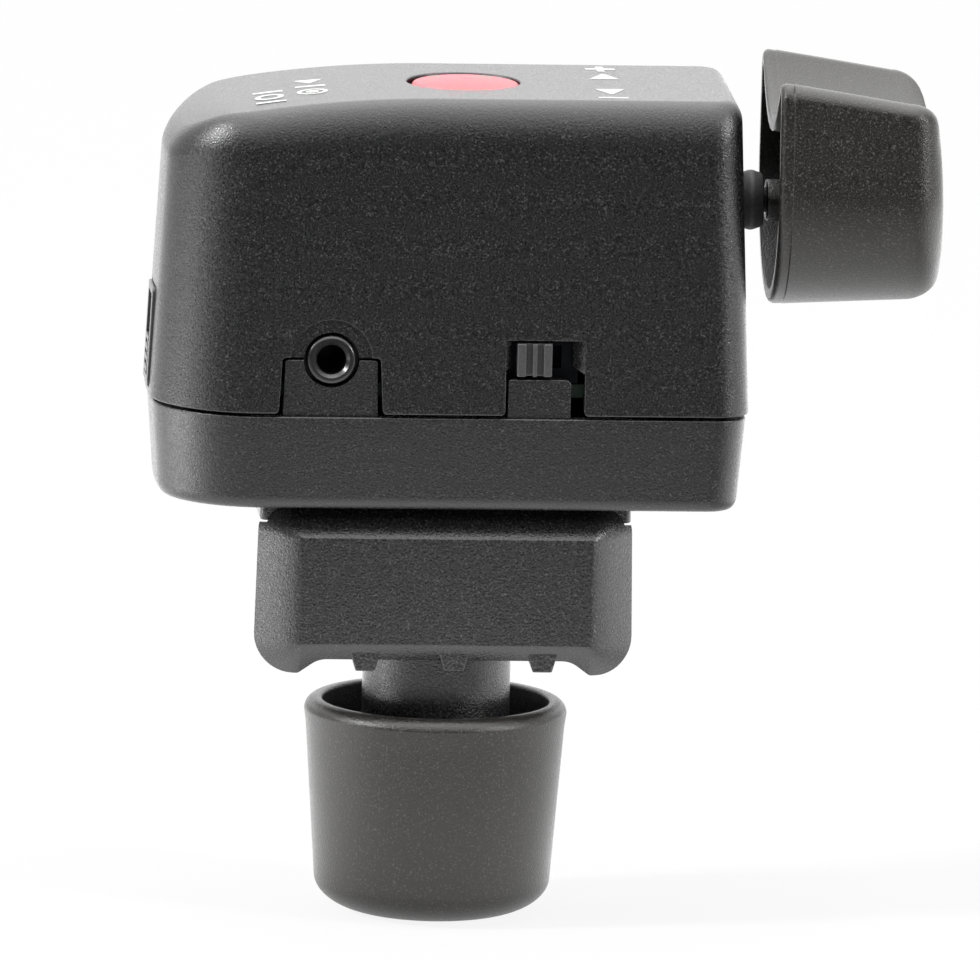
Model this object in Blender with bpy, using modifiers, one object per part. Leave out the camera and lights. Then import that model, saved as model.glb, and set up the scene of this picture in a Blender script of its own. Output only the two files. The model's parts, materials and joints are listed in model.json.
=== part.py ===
"""Camcorder zoom remote: a two-part housing with a thumb rocker, a record button, a cable
jack and two slide switches, on a screw clamp that grips a tripod's pan handle.

Metres, +Z up. The origin is the middle of the clamp knob's foot, on the clamp screw's axis.
The jack and the selector face -Y, and the rocker is on the +X end.
"""
from math import cos, pi, radians, sin, tan

import bmesh
import bpy
from mathutils import Vector

# Gaps that neighbouring pieces keep, and how far a cut runs past what it cuts
fit_gap = 0.0003
seam_gap = 0.0004
overrun = 0.001
merge_distance = 0.000001

# Housing: the lower shell reaches from its floor to the seam, the upper one from there up
housing_width = 0.0718
housing_depth = 0.0345
lower_shell_height = 0.0118
upper_shell_height = 0.0378
housing_wall = 0.0020
left_corner_radius = 0.0115
right_corner_radius = 0.0043
top_fillet = 0.0022
bottom_fillet = 0.0015
end_bulge = 0.0015
upper_draft = radians(2.4)
lower_draft = radians(4.6)
seam_step = 0.0003
crown_offset = 0.0020
crown_radius = 0.140
shoulder_offset = 0.0290
shoulder_radius = 0.0065
crown_strips = 6

# Record button on the roof
button_to_pot = 0.0124
button_hole_offset = 0.0002
button_hole_radius = 0.00715
button_radius = 0.00660
button_proud = 0.0004
button_crown = 0.0005
button_flange_radius = 0.0077
button_flange_height = 0.0010
button_stem_radius = 0.0022
button_travel = 0.0006
button_board_width = 0.0180
button_board_margin = 0.0004
button_board_thickness = 0.0012
button_board_drop = 0.0099
tact_switch_size = (0.0062, 0.0062, 0.0026)
tact_plunger_radius = 0.0016
board_post_margin = 0.0020
board_post_radius = 0.0019
board_screw_radius = 0.0009
board_screw_length = 0.0060
board_screw_head_radius = 0.0017
board_screw_head_height = 0.0010

# Main circuit board and the four case screws
board_thickness = 0.0016
board_end_margin = 0.0047
board_side_margin = 0.0016
case_screw_end_margin = 0.0071
case_screw_side_margin = 0.00585
case_post_radius = 0.0029
roof_cover_share = 0.3
case_screw_radius = 0.00125
case_screw_length = 0.0230
case_screw_head_radius = 0.0021
case_screw_head_height = 0.0014
case_screw_recess = 0.0030

# Cable jack in the front wall
jack_end_margin = 0.0212
jack_rise = 0.0065
jack_collar_radius = 0.0030
jack_bore_radius = 0.00175
jack_bore_depth = 0.0125
jack_body_size = (0.0076, 0.0120, 0.0058)
jack_dish_radius = 0.0049
jack_dish_depth = 0.0004
jack_tab_top_width = 0.0112
jack_tab_foot_width = 0.0119

# Selector slide switch in the front wall
selector_slot_left = 0.0063
selector_slot_right = 0.0158
selector_slot_rise = 0.0091
selector_tab_right = 0.0142
selector_tab_rise = 0.00435
selector_width = 0.0042
selector_height = 0.0040
selector_left = 0.0076
selector_travel = 0.0020
selector_proud = 0.0003
selector_stem_width = 0.0022
selector_groove_depth = 0.0007
selector_groove_width = 0.0007
selector_body_size = (0.0088, 0.0042, 0.0050)
selector_stem_length = 0.0026

# Power slide switch on the left end
power_plate_height = 0.0118
power_plate_width = 0.0074
power_plate_thickness = 0.00065
power_plate_proud = 0.00035
power_plate_rise = 0.0010
power_window_width = 0.0050
power_window_height = 0.0100
power_slider_height = 0.0044
power_slider_width = 0.0044
power_slider_proud = 0.0003
power_travel = 0.0048
power_stem_width = 0.0018
power_stem_height = 0.0020
power_body_size = (0.0034, 0.0060, 0.0120)

# Thumb rocker and what carries it
rocker_axis_drop = 0.0140
rocker_gap = 0.0030
rocker_length = 0.0197
rocker_end_bulge = 0.0008
rocker_half_width = 0.0156
rocker_widest_height = 0.0035
rocker_lobe_y = 0.0150
rocker_lobe_height = 0.0165
rocker_lobe_radius = 0.0019
rocker_bottom = 0.0125
rocker_saddle_height = 0.0104
rocker_top_slope = radians(9.0)
rocker_tip_sweep = radians(112.0)
rocker_end_radius = 0.0034
rocker_rim_radius = 0.0006
rocker_wall = 0.0018
rocker_hub_radius = 0.0025
rocker_hub_proud = 0.0004
shaft_radius = 0.0015
shaft_in_hub = 0.0100
collar_radius = 0.0037
collar_gap = 0.0004
collar_barrel = 0.0005
bush_radius = 0.0028
bush_in_housing = 0.0037
clip_radius = 0.0042
clip_thickness = 0.0008
clip_in_housing = 0.0027
pot_radius = 0.0080
pot_length = 0.0080
pot_in_housing = 0.0196
pot_bush_radius = 0.0030
bracket_thickness = 0.0010
bracket_height = 0.0190
nut_radius = 0.0048
nut_thickness = 0.0020
cam_radius = 0.0024
cam_length = 0.0034
spring_wire_radius = 0.00035
spring_radius = 0.0032
spring_turns = 3.5
spring_points_per_turn = 10

# Clamp: an upper jaw plate under the housing, and a body with a lower arm and a boss
jaw_plate_width = 0.0448
jaw_plate_front = 0.0098
jaw_plate_back = 0.0130
jaw_plate_thickness = 0.0022
clamp_width = 0.0458
clamp_front = 0.0138
clamp_back = 0.0120
clamp_spine_thickness = 0.0048
clamp_edge_drop = 0.0002
clamp_foot_drop = 0.0018
clamp_arm_thickness = 0.0028
clamp_throat = 0.0127
clamp_front_radius = 0.0040
clamp_top_radius = 0.0024
clamp_bottom_radius = 0.0013
clamp_foot_width = 0.0050
clamp_ledge_depth = 0.0102
clamp_ledge_height = 0.0044
rib_spacing = 0.0107
rib_offset = 0.0011
rib_top_width = 0.0036
rib_foot_width = 0.0023
rib_foot_drop = 0.0017
boss_radius = 0.00895
boss_length = 0.0158
boss_in_knob = 0.0080
insert_radius = 0.0048
insert_length = 0.0095
jaw_pad_size = (0.0400, 0.0146)
jaw_pad_thickness = 0.0012
jaw_screw_x = 0.0150
jaw_screw_radius = 0.0015
jaw_screw_head_radius = 0.0025
jaw_screw_head_height = 0.0012
jaw_screw_length = 0.0052
jaw_fixing_x = 0.0100
jaw_fixing_y = 0.0040
jaw_fixing_length = 0.0072

# Clamp screw, its pressure pad and the cup-shaped knob
screw_radius = 0.0030
screw_nose_radius = 0.0015
screw_nose_length = 0.0011
pad_radius = 0.0060
pad_thickness = 0.0016
pad_face_thickness = 0.0010
pad_pocket_depth = 0.0025
knob_height = 0.0260
knob_rim_radius = 0.0159
knob_wall = 0.0022
knob_taper = 0.0742
knob_rim_outer_round = 0.0016
knob_rim_inner_round = 0.0005
knob_foot_round_height = 0.0043
knob_foot_round_width = 0.0072
knob_floor = 0.0080
knob_post_radius = 0.0052
knob_post_top = 0.0115
knob_bore_floor = 0.0034

# How finely round things are cut
fine_steps = 40
round_steps = 24
small_steps = 12
rocker_steps = 18

# The cross-shaped drive in a screw's head
drive_length_share = 0.6
drive_width_share = 0.15

# Colours (linear), roughness and metallic value
black_matte = ((0.024, 0.024, 0.025), 0.55, 0.0)
black_gloss = ((0.021, 0.020, 0.020), 0.38, 0.0)
black_rubber = ((0.018, 0.018, 0.018), 0.85, 0.0)
red_gloss = ((0.62, 0.07, 0.08), 0.40, 0.0)
steel = ((0.56, 0.57, 0.58), 0.30, 1.0)
brass = ((0.72, 0.53, 0.24), 0.32, 1.0)
board_green = ((0.02, 0.14, 0.06), 0.50, 0.0)
grey_plastic = ((0.18, 0.18, 0.19), 0.50, 0.0)

for old in list(bpy.data.objects):
    bpy.data.objects.remove(old)

parts = bpy.data.collections.new("camcorder_zoom_remote")
cutters = bpy.data.collections.new("camcorder_zoom_remote_cutters")
bpy.context.scene.collection.children.link(parts)
bpy.context.scene.collection.children.link(cutters)


def finish_of(name, look):
    """Principled material with a base colour, a roughness and a metallic value."""
    colour, roughness, metallic = look
    material = bpy.data.materials.new(name)
    material.use_nodes = True
    shader = material.node_tree.nodes["Principled BSDF"]
    shader.inputs["Base Color"].default_value = (*colour, 1.0)
    shader.inputs["Roughness"].default_value = roughness
    shader.inputs["Metallic"].default_value = metallic
    return material


def new_object(name, mesh, location=(0.0, 0.0, 0.0), rotation=(0.0, 0.0, 0.0), parent=None):
    thing = bpy.data.objects.new(name, mesh)
    thing.location = location
    thing.rotation_euler = rotation
    thing.parent = parent
    return thing


def part(thing, look, sharp=radians(35.0)):
    """Makes an object a named piece of the remote, with a finish of its own."""
    parts.objects.link(thing)
    thing.data.materials.append(finish_of(thing.name + "_finish", look))
    thing.data.shade_smooth()
    thing.data.set_sharp_from_angle(angle=sharp)
    return thing


def guide(thing):
    """Makes an object a cutter or a shape to be joined, which is not a piece itself."""
    cutters.objects.link(thing)
    thing.hide_render = True
    thing.display_type = "WIRE"
    return thing


def boolean(thing, other, operation):
    step = thing.modifiers.new(operation.lower() + "_" + other.name, "BOOLEAN")
    step.operation = operation
    step.solver = "EXACT"
    step.object = other
    return thing


def cut(thing, *tools):
    for tool in tools:
        boolean(thing, guide(tool), "DIFFERENCE")
    return thing


def join(thing, *lumps):
    for lump in lumps:
        boolean(thing, guide(lump), "UNION")
    return thing


def mesh_of(name, bm):
    bmesh.ops.recalc_face_normals(bm, faces=bm.faces)
    mesh = bpy.data.meshes.new(name)
    bm.to_mesh(mesh)
    bm.free()
    return mesh


def block_mesh(name, low, high, round_edges=None, radius=0.0, segments=3):
    """A box between two corners. round_edges picks the edges to round, by their two ends."""
    bm = bmesh.new()
    bmesh.ops.create_cube(bm, size=1.0)
    size = Vector(high) - Vector(low)
    middle = (Vector(high) + Vector(low)) / 2.0
    for vert in bm.verts:
        vert.co = Vector((vert.co.x * size.x, vert.co.y * size.y, vert.co.z * size.z)) + middle
    if round_edges:
        edges = [edge for edge in bm.edges if round_edges(*(vert.co - middle for vert in edge.verts))]
        bmesh.ops.bevel(bm, geom=edges, offset=radius, segments=segments, profile=0.5,
                        affect="EDGES", clamp_overlap=False)
    return mesh_of(name, bm)


def block(name, low, high, location=(0.0, 0.0, 0.0), parent=None, **rounding):
    return new_object(name, block_mesh(name, low, high, **rounding), location, parent=parent)


def rod(name, radius, start, end, steps=round_steps, axis="Z"):
    """A plain cylinder from the point start, along an axis to the coordinate end."""
    along = "XYZ".index(axis)
    length = end - start[along]
    bm = bmesh.new()
    bmesh.ops.create_cone(bm, cap_ends=True, segments=steps, radius1=radius, radius2=radius,
                          depth=abs(length))
    turn = {"Z": (0.0, 0.0, 0.0), "X": (0.0, pi / 2.0, 0.0), "Y": (-pi / 2.0, 0.0, 0.0)}[axis]
    place = Vector(start)
    place[along] += length / 2.0
    return new_object(name, mesh_of(name, bm), place, turn)


def turned(name, profile, location=(0.0, 0.0, 0.0), axis="Z", steps=round_steps, closed=False):
    """A turned shape. The profile's (radius, height) points run down the outer side."""
    bm = bmesh.new()
    verts = [bm.verts.new((radius, 0.0, height)) for radius, height in profile]
    for first, second in zip(verts, verts[1:]):
        bm.edges.new((first, second))
    if closed:
        bm.edges.new((verts[-1], verts[0]))
    mesh = bpy.data.meshes.new(name)
    bm.to_mesh(mesh)
    bm.free()
    turn = (0.0, pi / 2.0, 0.0) if axis == "X" else (0.0, 0.0, 0.0)
    thing = new_object(name, mesh, location, turn)
    screw = thing.modifiers.new("turn", "SCREW")
    screw.steps = steps
    screw.render_steps = steps
    screw.use_merge_vertices = True
    screw.merge_threshold = merge_distance
    return thing


def prism(name, outline, low, high, axis="Y"):
    """A flat outline drawn out along an axis, from low to high."""
    bm = bmesh.new()
    put = {"Y": lambda u, v, w: (u, w, v), "X": lambda u, v, w: (w, u, v)}[axis]
    verts = [bm.verts.new(put(u, v, low)) for u, v in outline]
    face = bm.faces.new(verts)
    drawn = bmesh.ops.extrude_face_region(bm, geom=[face])
    shift = Vector(put(0.0, 0.0, high - low))
    bmesh.ops.translate(bm, vec=shift, verts=[g for g in drawn["geom"] if isinstance(g, bmesh.types.BMVert)])
    return new_object(name, mesh_of(name, bm))


def arc(centre_u, centre_v, radius_u, radius_v, start, end, count):
    """Points along an elliptical arc, with the angles in radians."""
    angles = [start + (end - start) * step / count for step in range(count + 1)]
    return [(centre_u + radius_u * cos(a), centre_v + radius_v * sin(a)) for a in angles]


def loft(name, rings, location):
    """A closed body through rings of equal point counts, capped at both ends."""
    bm = bmesh.new()
    rows = [[bm.verts.new(point) for point in ring] for ring in rings]
    for row, following in zip(rows, rows[1:]):
        for index in range(len(row)):
            after = (index + 1) % len(row)
            bm.faces.new((row[index], row[after], following[after], following[index]))
    bm.faces.new(rows[0])
    bm.faces.new(rows[-1])
    bmesh.ops.triangulate(bm, faces=bm.faces, quad_method="SHORT_EDGE")
    return new_object(name, mesh_of(name, bm), location)


# Heights from the knob up, and from the seam and the roof
boss_bottom = knob_height - boss_in_knob
clamp_arm_bottom = boss_bottom + boss_length
clamp_arm_top = clamp_arm_bottom + clamp_arm_thickness
clamp_edge_height = clamp_arm_bottom - clamp_edge_drop
clamp_foot_height = clamp_arm_bottom - clamp_foot_drop
rib_foot_height = clamp_arm_bottom - rib_foot_drop
jaw_plate_bottom = clamp_arm_top + clamp_throat
jaw_plate_top = jaw_plate_bottom + jaw_plate_thickness
housing_bottom = jaw_plate_top + fit_gap
seam_height = housing_bottom + lower_shell_height
housing_top = seam_height + upper_shell_height
jack_height = seam_height + jack_rise
selector_slot_top = seam_height + selector_slot_rise
selector_tab_top = seam_height + selector_tab_rise
rocker_axis_height = housing_top - rocker_axis_drop
button_board_height = housing_top - button_board_drop

half_width = housing_width / 2.0
half_depth = housing_depth / 2.0
inner_half_width = half_width - housing_wall
inner_half_depth = half_depth - housing_wall
case_screw_x = inner_half_width - case_screw_end_margin
case_screw_y = inner_half_depth - case_screw_side_margin
jack_x = jack_end_margin - half_width
rocker_rim_x = half_width + rocker_gap
rocker_end_x = rocker_rim_x + rocker_length
rocker_hub_x = rocker_rim_x - rocker_hub_proud
collar_end_x = rocker_hub_x - collar_gap
bush_inner_end = inner_half_width - bush_in_housing
clip_x = inner_half_width - clip_in_housing
pot_x = inner_half_width - pot_in_housing
button_x = pot_x - button_to_pot
button_hole_x = button_x - button_hole_offset
button_board_half = pot_x - button_board_margin - button_x
board_post_x = button_board_half - board_post_margin


def roof_drop(x):
    """How far the roof has curved down at x: a long crown, then a tighter left shoulder."""
    crown = max(0.0, -crown_offset - x) ** 2 / (2.0 * crown_radius)
    shoulder = max(0.0, -shoulder_offset - x) ** 2 / (2.0 * shoulder_radius)
    return crown + shoulder


def roof_height(x):
    return housing_top - roof_drop(x)


def boss_top(x, radius):
    """The height at which a boss under the roof ends, inside the roof at its outer edge."""
    outer = (x - radius) / (1.0 - wall_inset(housing_top) / half_width)
    return roof_height(outer) - housing_wall * roof_cover_share


def wall_inset(height):
    """How far the walls lean in at a height, by the draft of the shell that is there."""
    if height >= seam_height:
        return (height - seam_height) * tan(upper_draft)
    return (seam_height - height) * tan(lower_draft)


def front_face(height):
    """Y of the housing's front face at a height."""
    return wall_inset(height) - half_depth


def end_bulge_at(y):
    return end_bulge * (1.0 - (y / half_depth) ** 2)


def left_face(height):
    """X of the flat part of the housing's left end at a height, between its rounded corners."""
    flat_edge = half_depth - left_corner_radius
    return wall_inset(height) - half_width + end_bulge - end_bulge_at(flat_edge)


def right_face(height):
    return half_width - wall_inset(height)


def housing_mesh(name, inset, low, high, fillet, fillet_up, curve_roof):
    """A rounded housing block between two heights, with its walls moved in by inset.

    The box has its upright edges rounded first, then its top or bottom rim. Its points are
    then moved: walls lean in with the draft, the left end bulges and the roof curves down.
    """
    bm = bmesh.new()
    bmesh.ops.create_cube(bm, size=1.0)
    width = half_width - inset
    depth = half_depth - inset
    for vert in bm.verts:
        vert.co = Vector((vert.co.x * 2.0 * width, vert.co.y * 2.0 * depth,
                          low + (vert.co.z + 0.5) * (high - low)))
    for side, radius, segments in ((-1.0, left_corner_radius, 8), (1.0, right_corner_radius, 4)):
        upright = [edge for edge in bm.edges
                   if all(vert.co.x * side > 0.0 for vert in edge.verts)
                   and abs(edge.verts[0].co.z - edge.verts[1].co.z) > (high - low) / 2.0]
        bmesh.ops.bevel(bm, geom=upright, offset=radius - inset, segments=segments, profile=0.5,
                        affect="EDGES", clamp_overlap=False)
    rim_height = high if fillet_up else low
    nearly = (high - low) / 1000.0
    rim = [edge for edge in bm.edges if all(abs(vert.co.z - rim_height) < nearly for vert in edge.verts)]
    if fillet > inset:
        bmesh.ops.bevel(bm, geom=rim, offset=fillet - inset, segments=3, profile=0.5,
                        affect="EDGES", clamp_overlap=False)
    if curve_roof:
        corner = {round(vert.co.x / nearly) * nearly for vert in bm.verts
                  if vert.co.x < 0.0 and abs(vert.co.z - high) < nearly}
        span = max(corner) + crown_offset
        strips = [span * strip / crown_strips - crown_offset for strip in range(crown_strips)]
        for x in strips + sorted(corner)[1:]:
            bmesh.ops.bisect_plane(bm, geom=bm.verts[:] + bm.edges[:] + bm.faces[:], dist=nearly,
                                   plane_co=(x, 0.0, 0.0), plane_no=(1.0, 0.0, 0.0))
    for vert in bm.verts:
        x, y, z = vert.co
        lean = wall_inset(z)
        if curve_roof:
            up = max(0.0, z - seam_height) / (housing_top - seam_height)
            vert.co.z = z - roof_drop(x) * up
        if x < 0.0:
            x += (end_bulge - end_bulge_at(y)) * (-x / half_width)
        vert.co.x = x * (1.0 - lean / half_width)
        vert.co.y = y * (1.0 - lean / half_depth)
    bmesh.ops.triangulate(bm, faces=bm.faces, quad_method="SHORT_EDGE")
    return mesh_of(name, bm)


def screw_profile(radius, length, head_radius, head_height):
    """A pan-head screw that points up, with its head's underside at height zero."""
    tip = radius / 2.0
    return [(0.0, length), (tip, length), (radius, length - tip), (radius, 0.0), (head_radius, 0.0),
            (head_radius, -head_height / 2.0), (head_radius - head_height / 2.0, -head_height),
            (0.0, -head_height)]


def add_screw(name, place, radius, length, head_radius, head_height, upside_down=False):
    """A screw with a cross-shaped drive in its head."""
    screw = turned(name, screw_profile(radius, length, head_radius, head_height), place, steps=small_steps)
    if upside_down:
        screw.rotation_euler = (pi, 0.0, 0.0)
    part(screw, steel)
    long_half = head_radius * drive_length_share
    short_half = head_radius * drive_width_share
    deep = head_height / 2.0
    for index, (half_x, half_y) in enumerate(((long_half, short_half), (short_half, long_half))):
        slot = block(name + "_slot_" + str(index + 1), (-half_x, -half_y, -head_height - overrun),
                     (half_x, half_y, -deep), parent=screw)
        cut(screw, slot)
    return screw


# Heights that several pieces share
jack_front = front_face(jack_height) + jack_dish_depth
board_top = jack_height - jack_body_size[2] / 2.0 - fit_gap
board_bottom = board_top - board_thickness
floor_top = housing_bottom + housing_wall
lower_top = seam_height - seam_gap
case_post_top = board_bottom - fit_gap
case_boss_bottom = board_top + fit_gap
selector_middle = selector_slot_top - selector_height / 2.0 - fit_gap
button_flange_top = housing_top - housing_wall - fit_gap
button_flange_bottom = button_flange_top - button_flange_height
tact_top = button_board_height + fit_gap + tact_switch_size[2]
button_stem_bottom = tact_top + fit_gap + button_travel
case_screw_places = [(sx * case_screw_x, sy * case_screw_y) for sx in (-1.0, 1.0) for sy in (-1.0, 1.0)]
clamp_top = housing_bottom - fit_gap
clamp_spine_back = clamp_spine_thickness - clamp_front
pad_pocket_floor = clamp_arm_top - pad_pocket_depth
pad_bottom = pad_pocket_floor + fit_gap
pad_top = pad_bottom + pad_thickness
screw_top = pad_bottom - fit_gap


def jack_tab_outline(margin, top, foot):
    """The trapezoid tab round the jack, grown by a margin."""
    half_top = jack_tab_top_width / 2.0 + margin
    half_foot = jack_tab_foot_width / 2.0 + margin
    return [(jack_x - half_foot, foot), (jack_x + half_foot, foot), (jack_x + half_top, top),
            (jack_x - half_top, top)]


def selector_tab_outline(margin, foot):
    right = selector_tab_right + margin
    top = selector_tab_top + margin
    left = selector_slot_left + fit_gap - margin
    soft = selector_groove_width
    return [(left, foot), (right, foot), (right, top - soft), (right - soft, top), (left, top)]


def make_upper_shell():
    shell = new_object("upper_shell", housing_mesh("upper_shell", 0.0, seam_height, housing_top,
                                                   top_fillet, True, True))
    part(shell, black_matte)
    hollow = new_object("upper_hollow", housing_mesh("upper_hollow", housing_wall, seam_height - overrun,
                                                     housing_top - housing_wall, top_fillet, True, True))
    cut(shell, hollow)
    for index, (x, y) in enumerate(case_screw_places):
        join(shell, rod("case_boss_" + str(index + 1), case_post_radius, (x, y, case_boss_bottom),
                        boss_top(x, case_post_radius), small_steps))
        pilot_top = housing_bottom + case_screw_recess + case_screw_length + fit_gap
        cut(shell, rod("case_pilot_" + str(index + 1), case_screw_radius + fit_gap,
                       (x, y, case_boss_bottom - overrun), pilot_top, small_steps))
    for index, side in enumerate((-1.0, 1.0)):
        x = button_x + side * board_post_x
        post_bottom = button_board_height + fit_gap
        join(shell, rod("board_boss_" + str(index + 1), board_post_radius, (x, 0.0, post_bottom),
                        boss_top(x, board_post_radius), small_steps))
        pilot_top = button_board_height - button_board_thickness + board_screw_length + fit_gap
        cut(shell, rod("board_pilot_" + str(index + 1), board_screw_radius + fit_gap,
                       (x, 0.0, post_bottom - overrun), pilot_top, small_steps))
    front = -half_depth - overrun
    behind = housing_wall + overrun - half_depth + wall_inset(selector_slot_top)
    dish_floor = front_face(jack_height) + jack_dish_depth
    cut(shell,
        rod("button_hole", button_hole_radius, (button_hole_x, 0.0, housing_top - housing_wall - overrun),
            housing_top + overrun, fine_steps),
        prism("jack_tab_cut", jack_tab_outline(fit_gap, jack_height + fit_gap, seam_height - overrun),
              front, behind),
        rod("jack_hole", jack_collar_radius + fit_gap, (jack_x, front, jack_height), behind,
            round_steps, "Y"),
        rod("jack_dish", jack_dish_radius, (jack_x, front, jack_height), dish_floor, round_steps, "Y"),
        block("selector_slot", (selector_slot_left, front, seam_height - overrun),
              (selector_slot_right, behind, selector_slot_top)),
        rod("collar_hole", bush_radius + fit_gap, (bush_inner_end, 0.0, rocker_axis_height),
            half_width + overrun, round_steps, "X"))
    pocket_floor = power_plate_thickness - power_plate_proud + fit_gap
    half_plate = power_plate_width / 2.0 + fit_gap
    half_tall = power_plate_height / 2.0 + fit_gap
    half_stem = power_stem_width / 2.0 + fit_gap
    stem_low = power_stem_low - fit_gap
    stem_high = power_stem_low + power_stem_height + power_travel + fit_gap
    cut(shell,
        block("power_pocket", (-overrun, -half_plate, -half_tall), (pocket_floor, half_plate, half_tall),
              parent=power_frame),
        block("power_stem_slot", (-overrun, -half_stem, stem_low),
              (housing_wall + overrun, half_stem, stem_high), parent=power_frame))
    return shell


def make_lower_shell():
    shell = new_object("lower_shell", housing_mesh("lower_shell", seam_step, housing_bottom, lower_top,
                                                   bottom_fillet + seam_step, False, False))
    part(shell, black_matte)
    cut(shell, new_object("lower_hollow", housing_mesh("lower_hollow", housing_wall, floor_top,
                                                       lower_top + overrun, 0.0, False, False)))
    tab_back = front_face(seam_height) + housing_wall
    tab_front = front_face(seam_height) + seam_step
    lean = tan(upper_draft)
    for name, outline in (
            ("jack_tab", jack_tab_outline(0.0, jack_height, floor_top)),
            ("selector_tab", selector_tab_outline(0.0, floor_top))):
        tab = prism(name, outline, tab_front, tab_back)
        for vert in tab.data.vertices:
            vert.co.y += (vert.co.z - seam_height) * lean * (1.0 if vert.co.z > seam_height else 0.0)
            vert.co.y += max(0.0, seam_height - vert.co.z) * tan(lower_draft)
        join(shell, tab)
    cut(shell, rod("jack_notch", jack_collar_radius + fit_gap, (jack_x, -half_depth - overrun, jack_height),
                   tab_back + overrun, round_steps, "Y"))
    for index, (x, y) in enumerate(case_screw_places):
        name = str(index + 1)
        join(shell, rod("case_post_" + name, case_post_radius, (x, y, floor_top - housing_wall / 2.0),
                        case_post_top, small_steps))
        cut(shell, rod("case_clear_" + name, case_screw_radius + fit_gap, (x, y, housing_bottom - overrun),
                       case_post_top + overrun, small_steps),
            rod("case_sink_" + name, case_screw_head_radius + fit_gap, (x, y, housing_bottom - overrun),
                housing_bottom + case_screw_recess + fit_gap, small_steps))
    for index, side in enumerate((-1.0, 1.0)):
        name = str(index + 1)
        x = side * jaw_fixing_x
        post_top = jaw_plate_bottom + jaw_screw_head_height + jaw_fixing_length + housing_wall
        join(shell, rod("jaw_post_" + name, case_post_radius,
                        (x, jaw_fixing_y, floor_top - housing_wall / 2.0), post_top, small_steps))
        cut(shell, rod("jaw_pilot_" + name, jaw_screw_radius + fit_gap,
                       (x, jaw_fixing_y, housing_bottom - overrun), post_top - housing_wall / 2.0,
                       small_steps))
    return shell


def make_boards():
    half_x = inner_half_width - board_end_margin
    half_y = inner_half_depth - wall_inset(board_top) - board_side_margin
    board = block("circuit_board", (-half_x, -half_y, 0.0), (half_x, half_y, board_thickness),
                  (0.0, 0.0, board_bottom),
                  round_edges=lambda a, b: a.z * b.z < 0.0, radius=case_post_radius * 2.0, segments=3)
    part(board, board_green)
    for index, (x, y) in enumerate(case_screw_places):
        cut(board, rod("board_hole_" + str(index + 1), case_screw_radius + fit_gap,
                       (x, y, board_bottom - overrun), board_top + overrun, small_steps))
    half_y = button_board_width / 2.0
    small = block("button_board", (-button_board_half, -half_y, -button_board_thickness),
                  (button_board_half, half_y, 0.0), (button_x, 0.0, button_board_height))
    part(small, board_green)
    for index, side in enumerate((-1.0, 1.0)):
        x = button_x + side * board_post_x
        cut(small, rod("small_board_hole_" + str(index + 1), board_screw_radius + fit_gap,
                       (x, 0.0, button_board_height - button_board_thickness - overrun),
                       button_board_height + overrun, small_steps))
        add_screw("board_screw_" + str(index + 1),
                  (x, 0.0, button_board_height - button_board_thickness - fit_gap), board_screw_radius,
                  board_screw_length, board_screw_head_radius, board_screw_head_height)


def make_button():
    half = tact_switch_size[0] / 2.0
    low = button_board_height + fit_gap
    plunger_share = 0.6
    body_top = tact_switch_size[2] * plunger_share
    switch = block("tact_switch", (-half, -half, 0.0), (half, half, body_top), (button_x, 0.0, low))
    part(switch, grey_plastic)
    join(switch, rod("tact_plunger", tact_plunger_radius, (button_x, 0.0, low + body_top / 2.0),
                     tact_top, small_steps))
    top = housing_top + button_proud
    edge = button_crown
    dome = [(button_radius * share, top - button_crown * share ** 2) for share in (0.0, 0.35, 0.65, 0.9)]
    profile = dome + [
        (button_radius, top - button_crown - edge), (button_radius, button_flange_top),
        (button_flange_radius, button_flange_top), (button_flange_radius, button_flange_bottom),
        (button_stem_radius, button_flange_bottom), (button_stem_radius, button_stem_bottom),
        (0.0, button_stem_bottom)]
    profile = [(radius, height - housing_top) for radius, height in profile]
    cap = turned("rec_button", profile, (button_x, 0.0, housing_top), steps=fine_steps)
    return part(cap, red_gloss)


def make_jack():
    wide, deep, tall = jack_body_size
    back_of_wall = front_face(jack_height) + housing_wall + fit_gap
    body = block("cable_jack", (-wide / 2.0, back_of_wall - jack_front, -tall / 2.0),
                 (wide / 2.0, back_of_wall - jack_front + deep, tall / 2.0),
                 (jack_x, jack_front, jack_height))
    part(body, black_matte)
    join(body, rod("jack_collar", jack_collar_radius, (jack_x, jack_front, jack_height),
                   back_of_wall + deep / 2.0, round_steps, "Y"))
    cut(body, rod("jack_bore", jack_bore_radius, (jack_x, jack_front - overrun, jack_height),
                  jack_front + jack_bore_depth, round_steps, "Y"))
    return body


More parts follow.
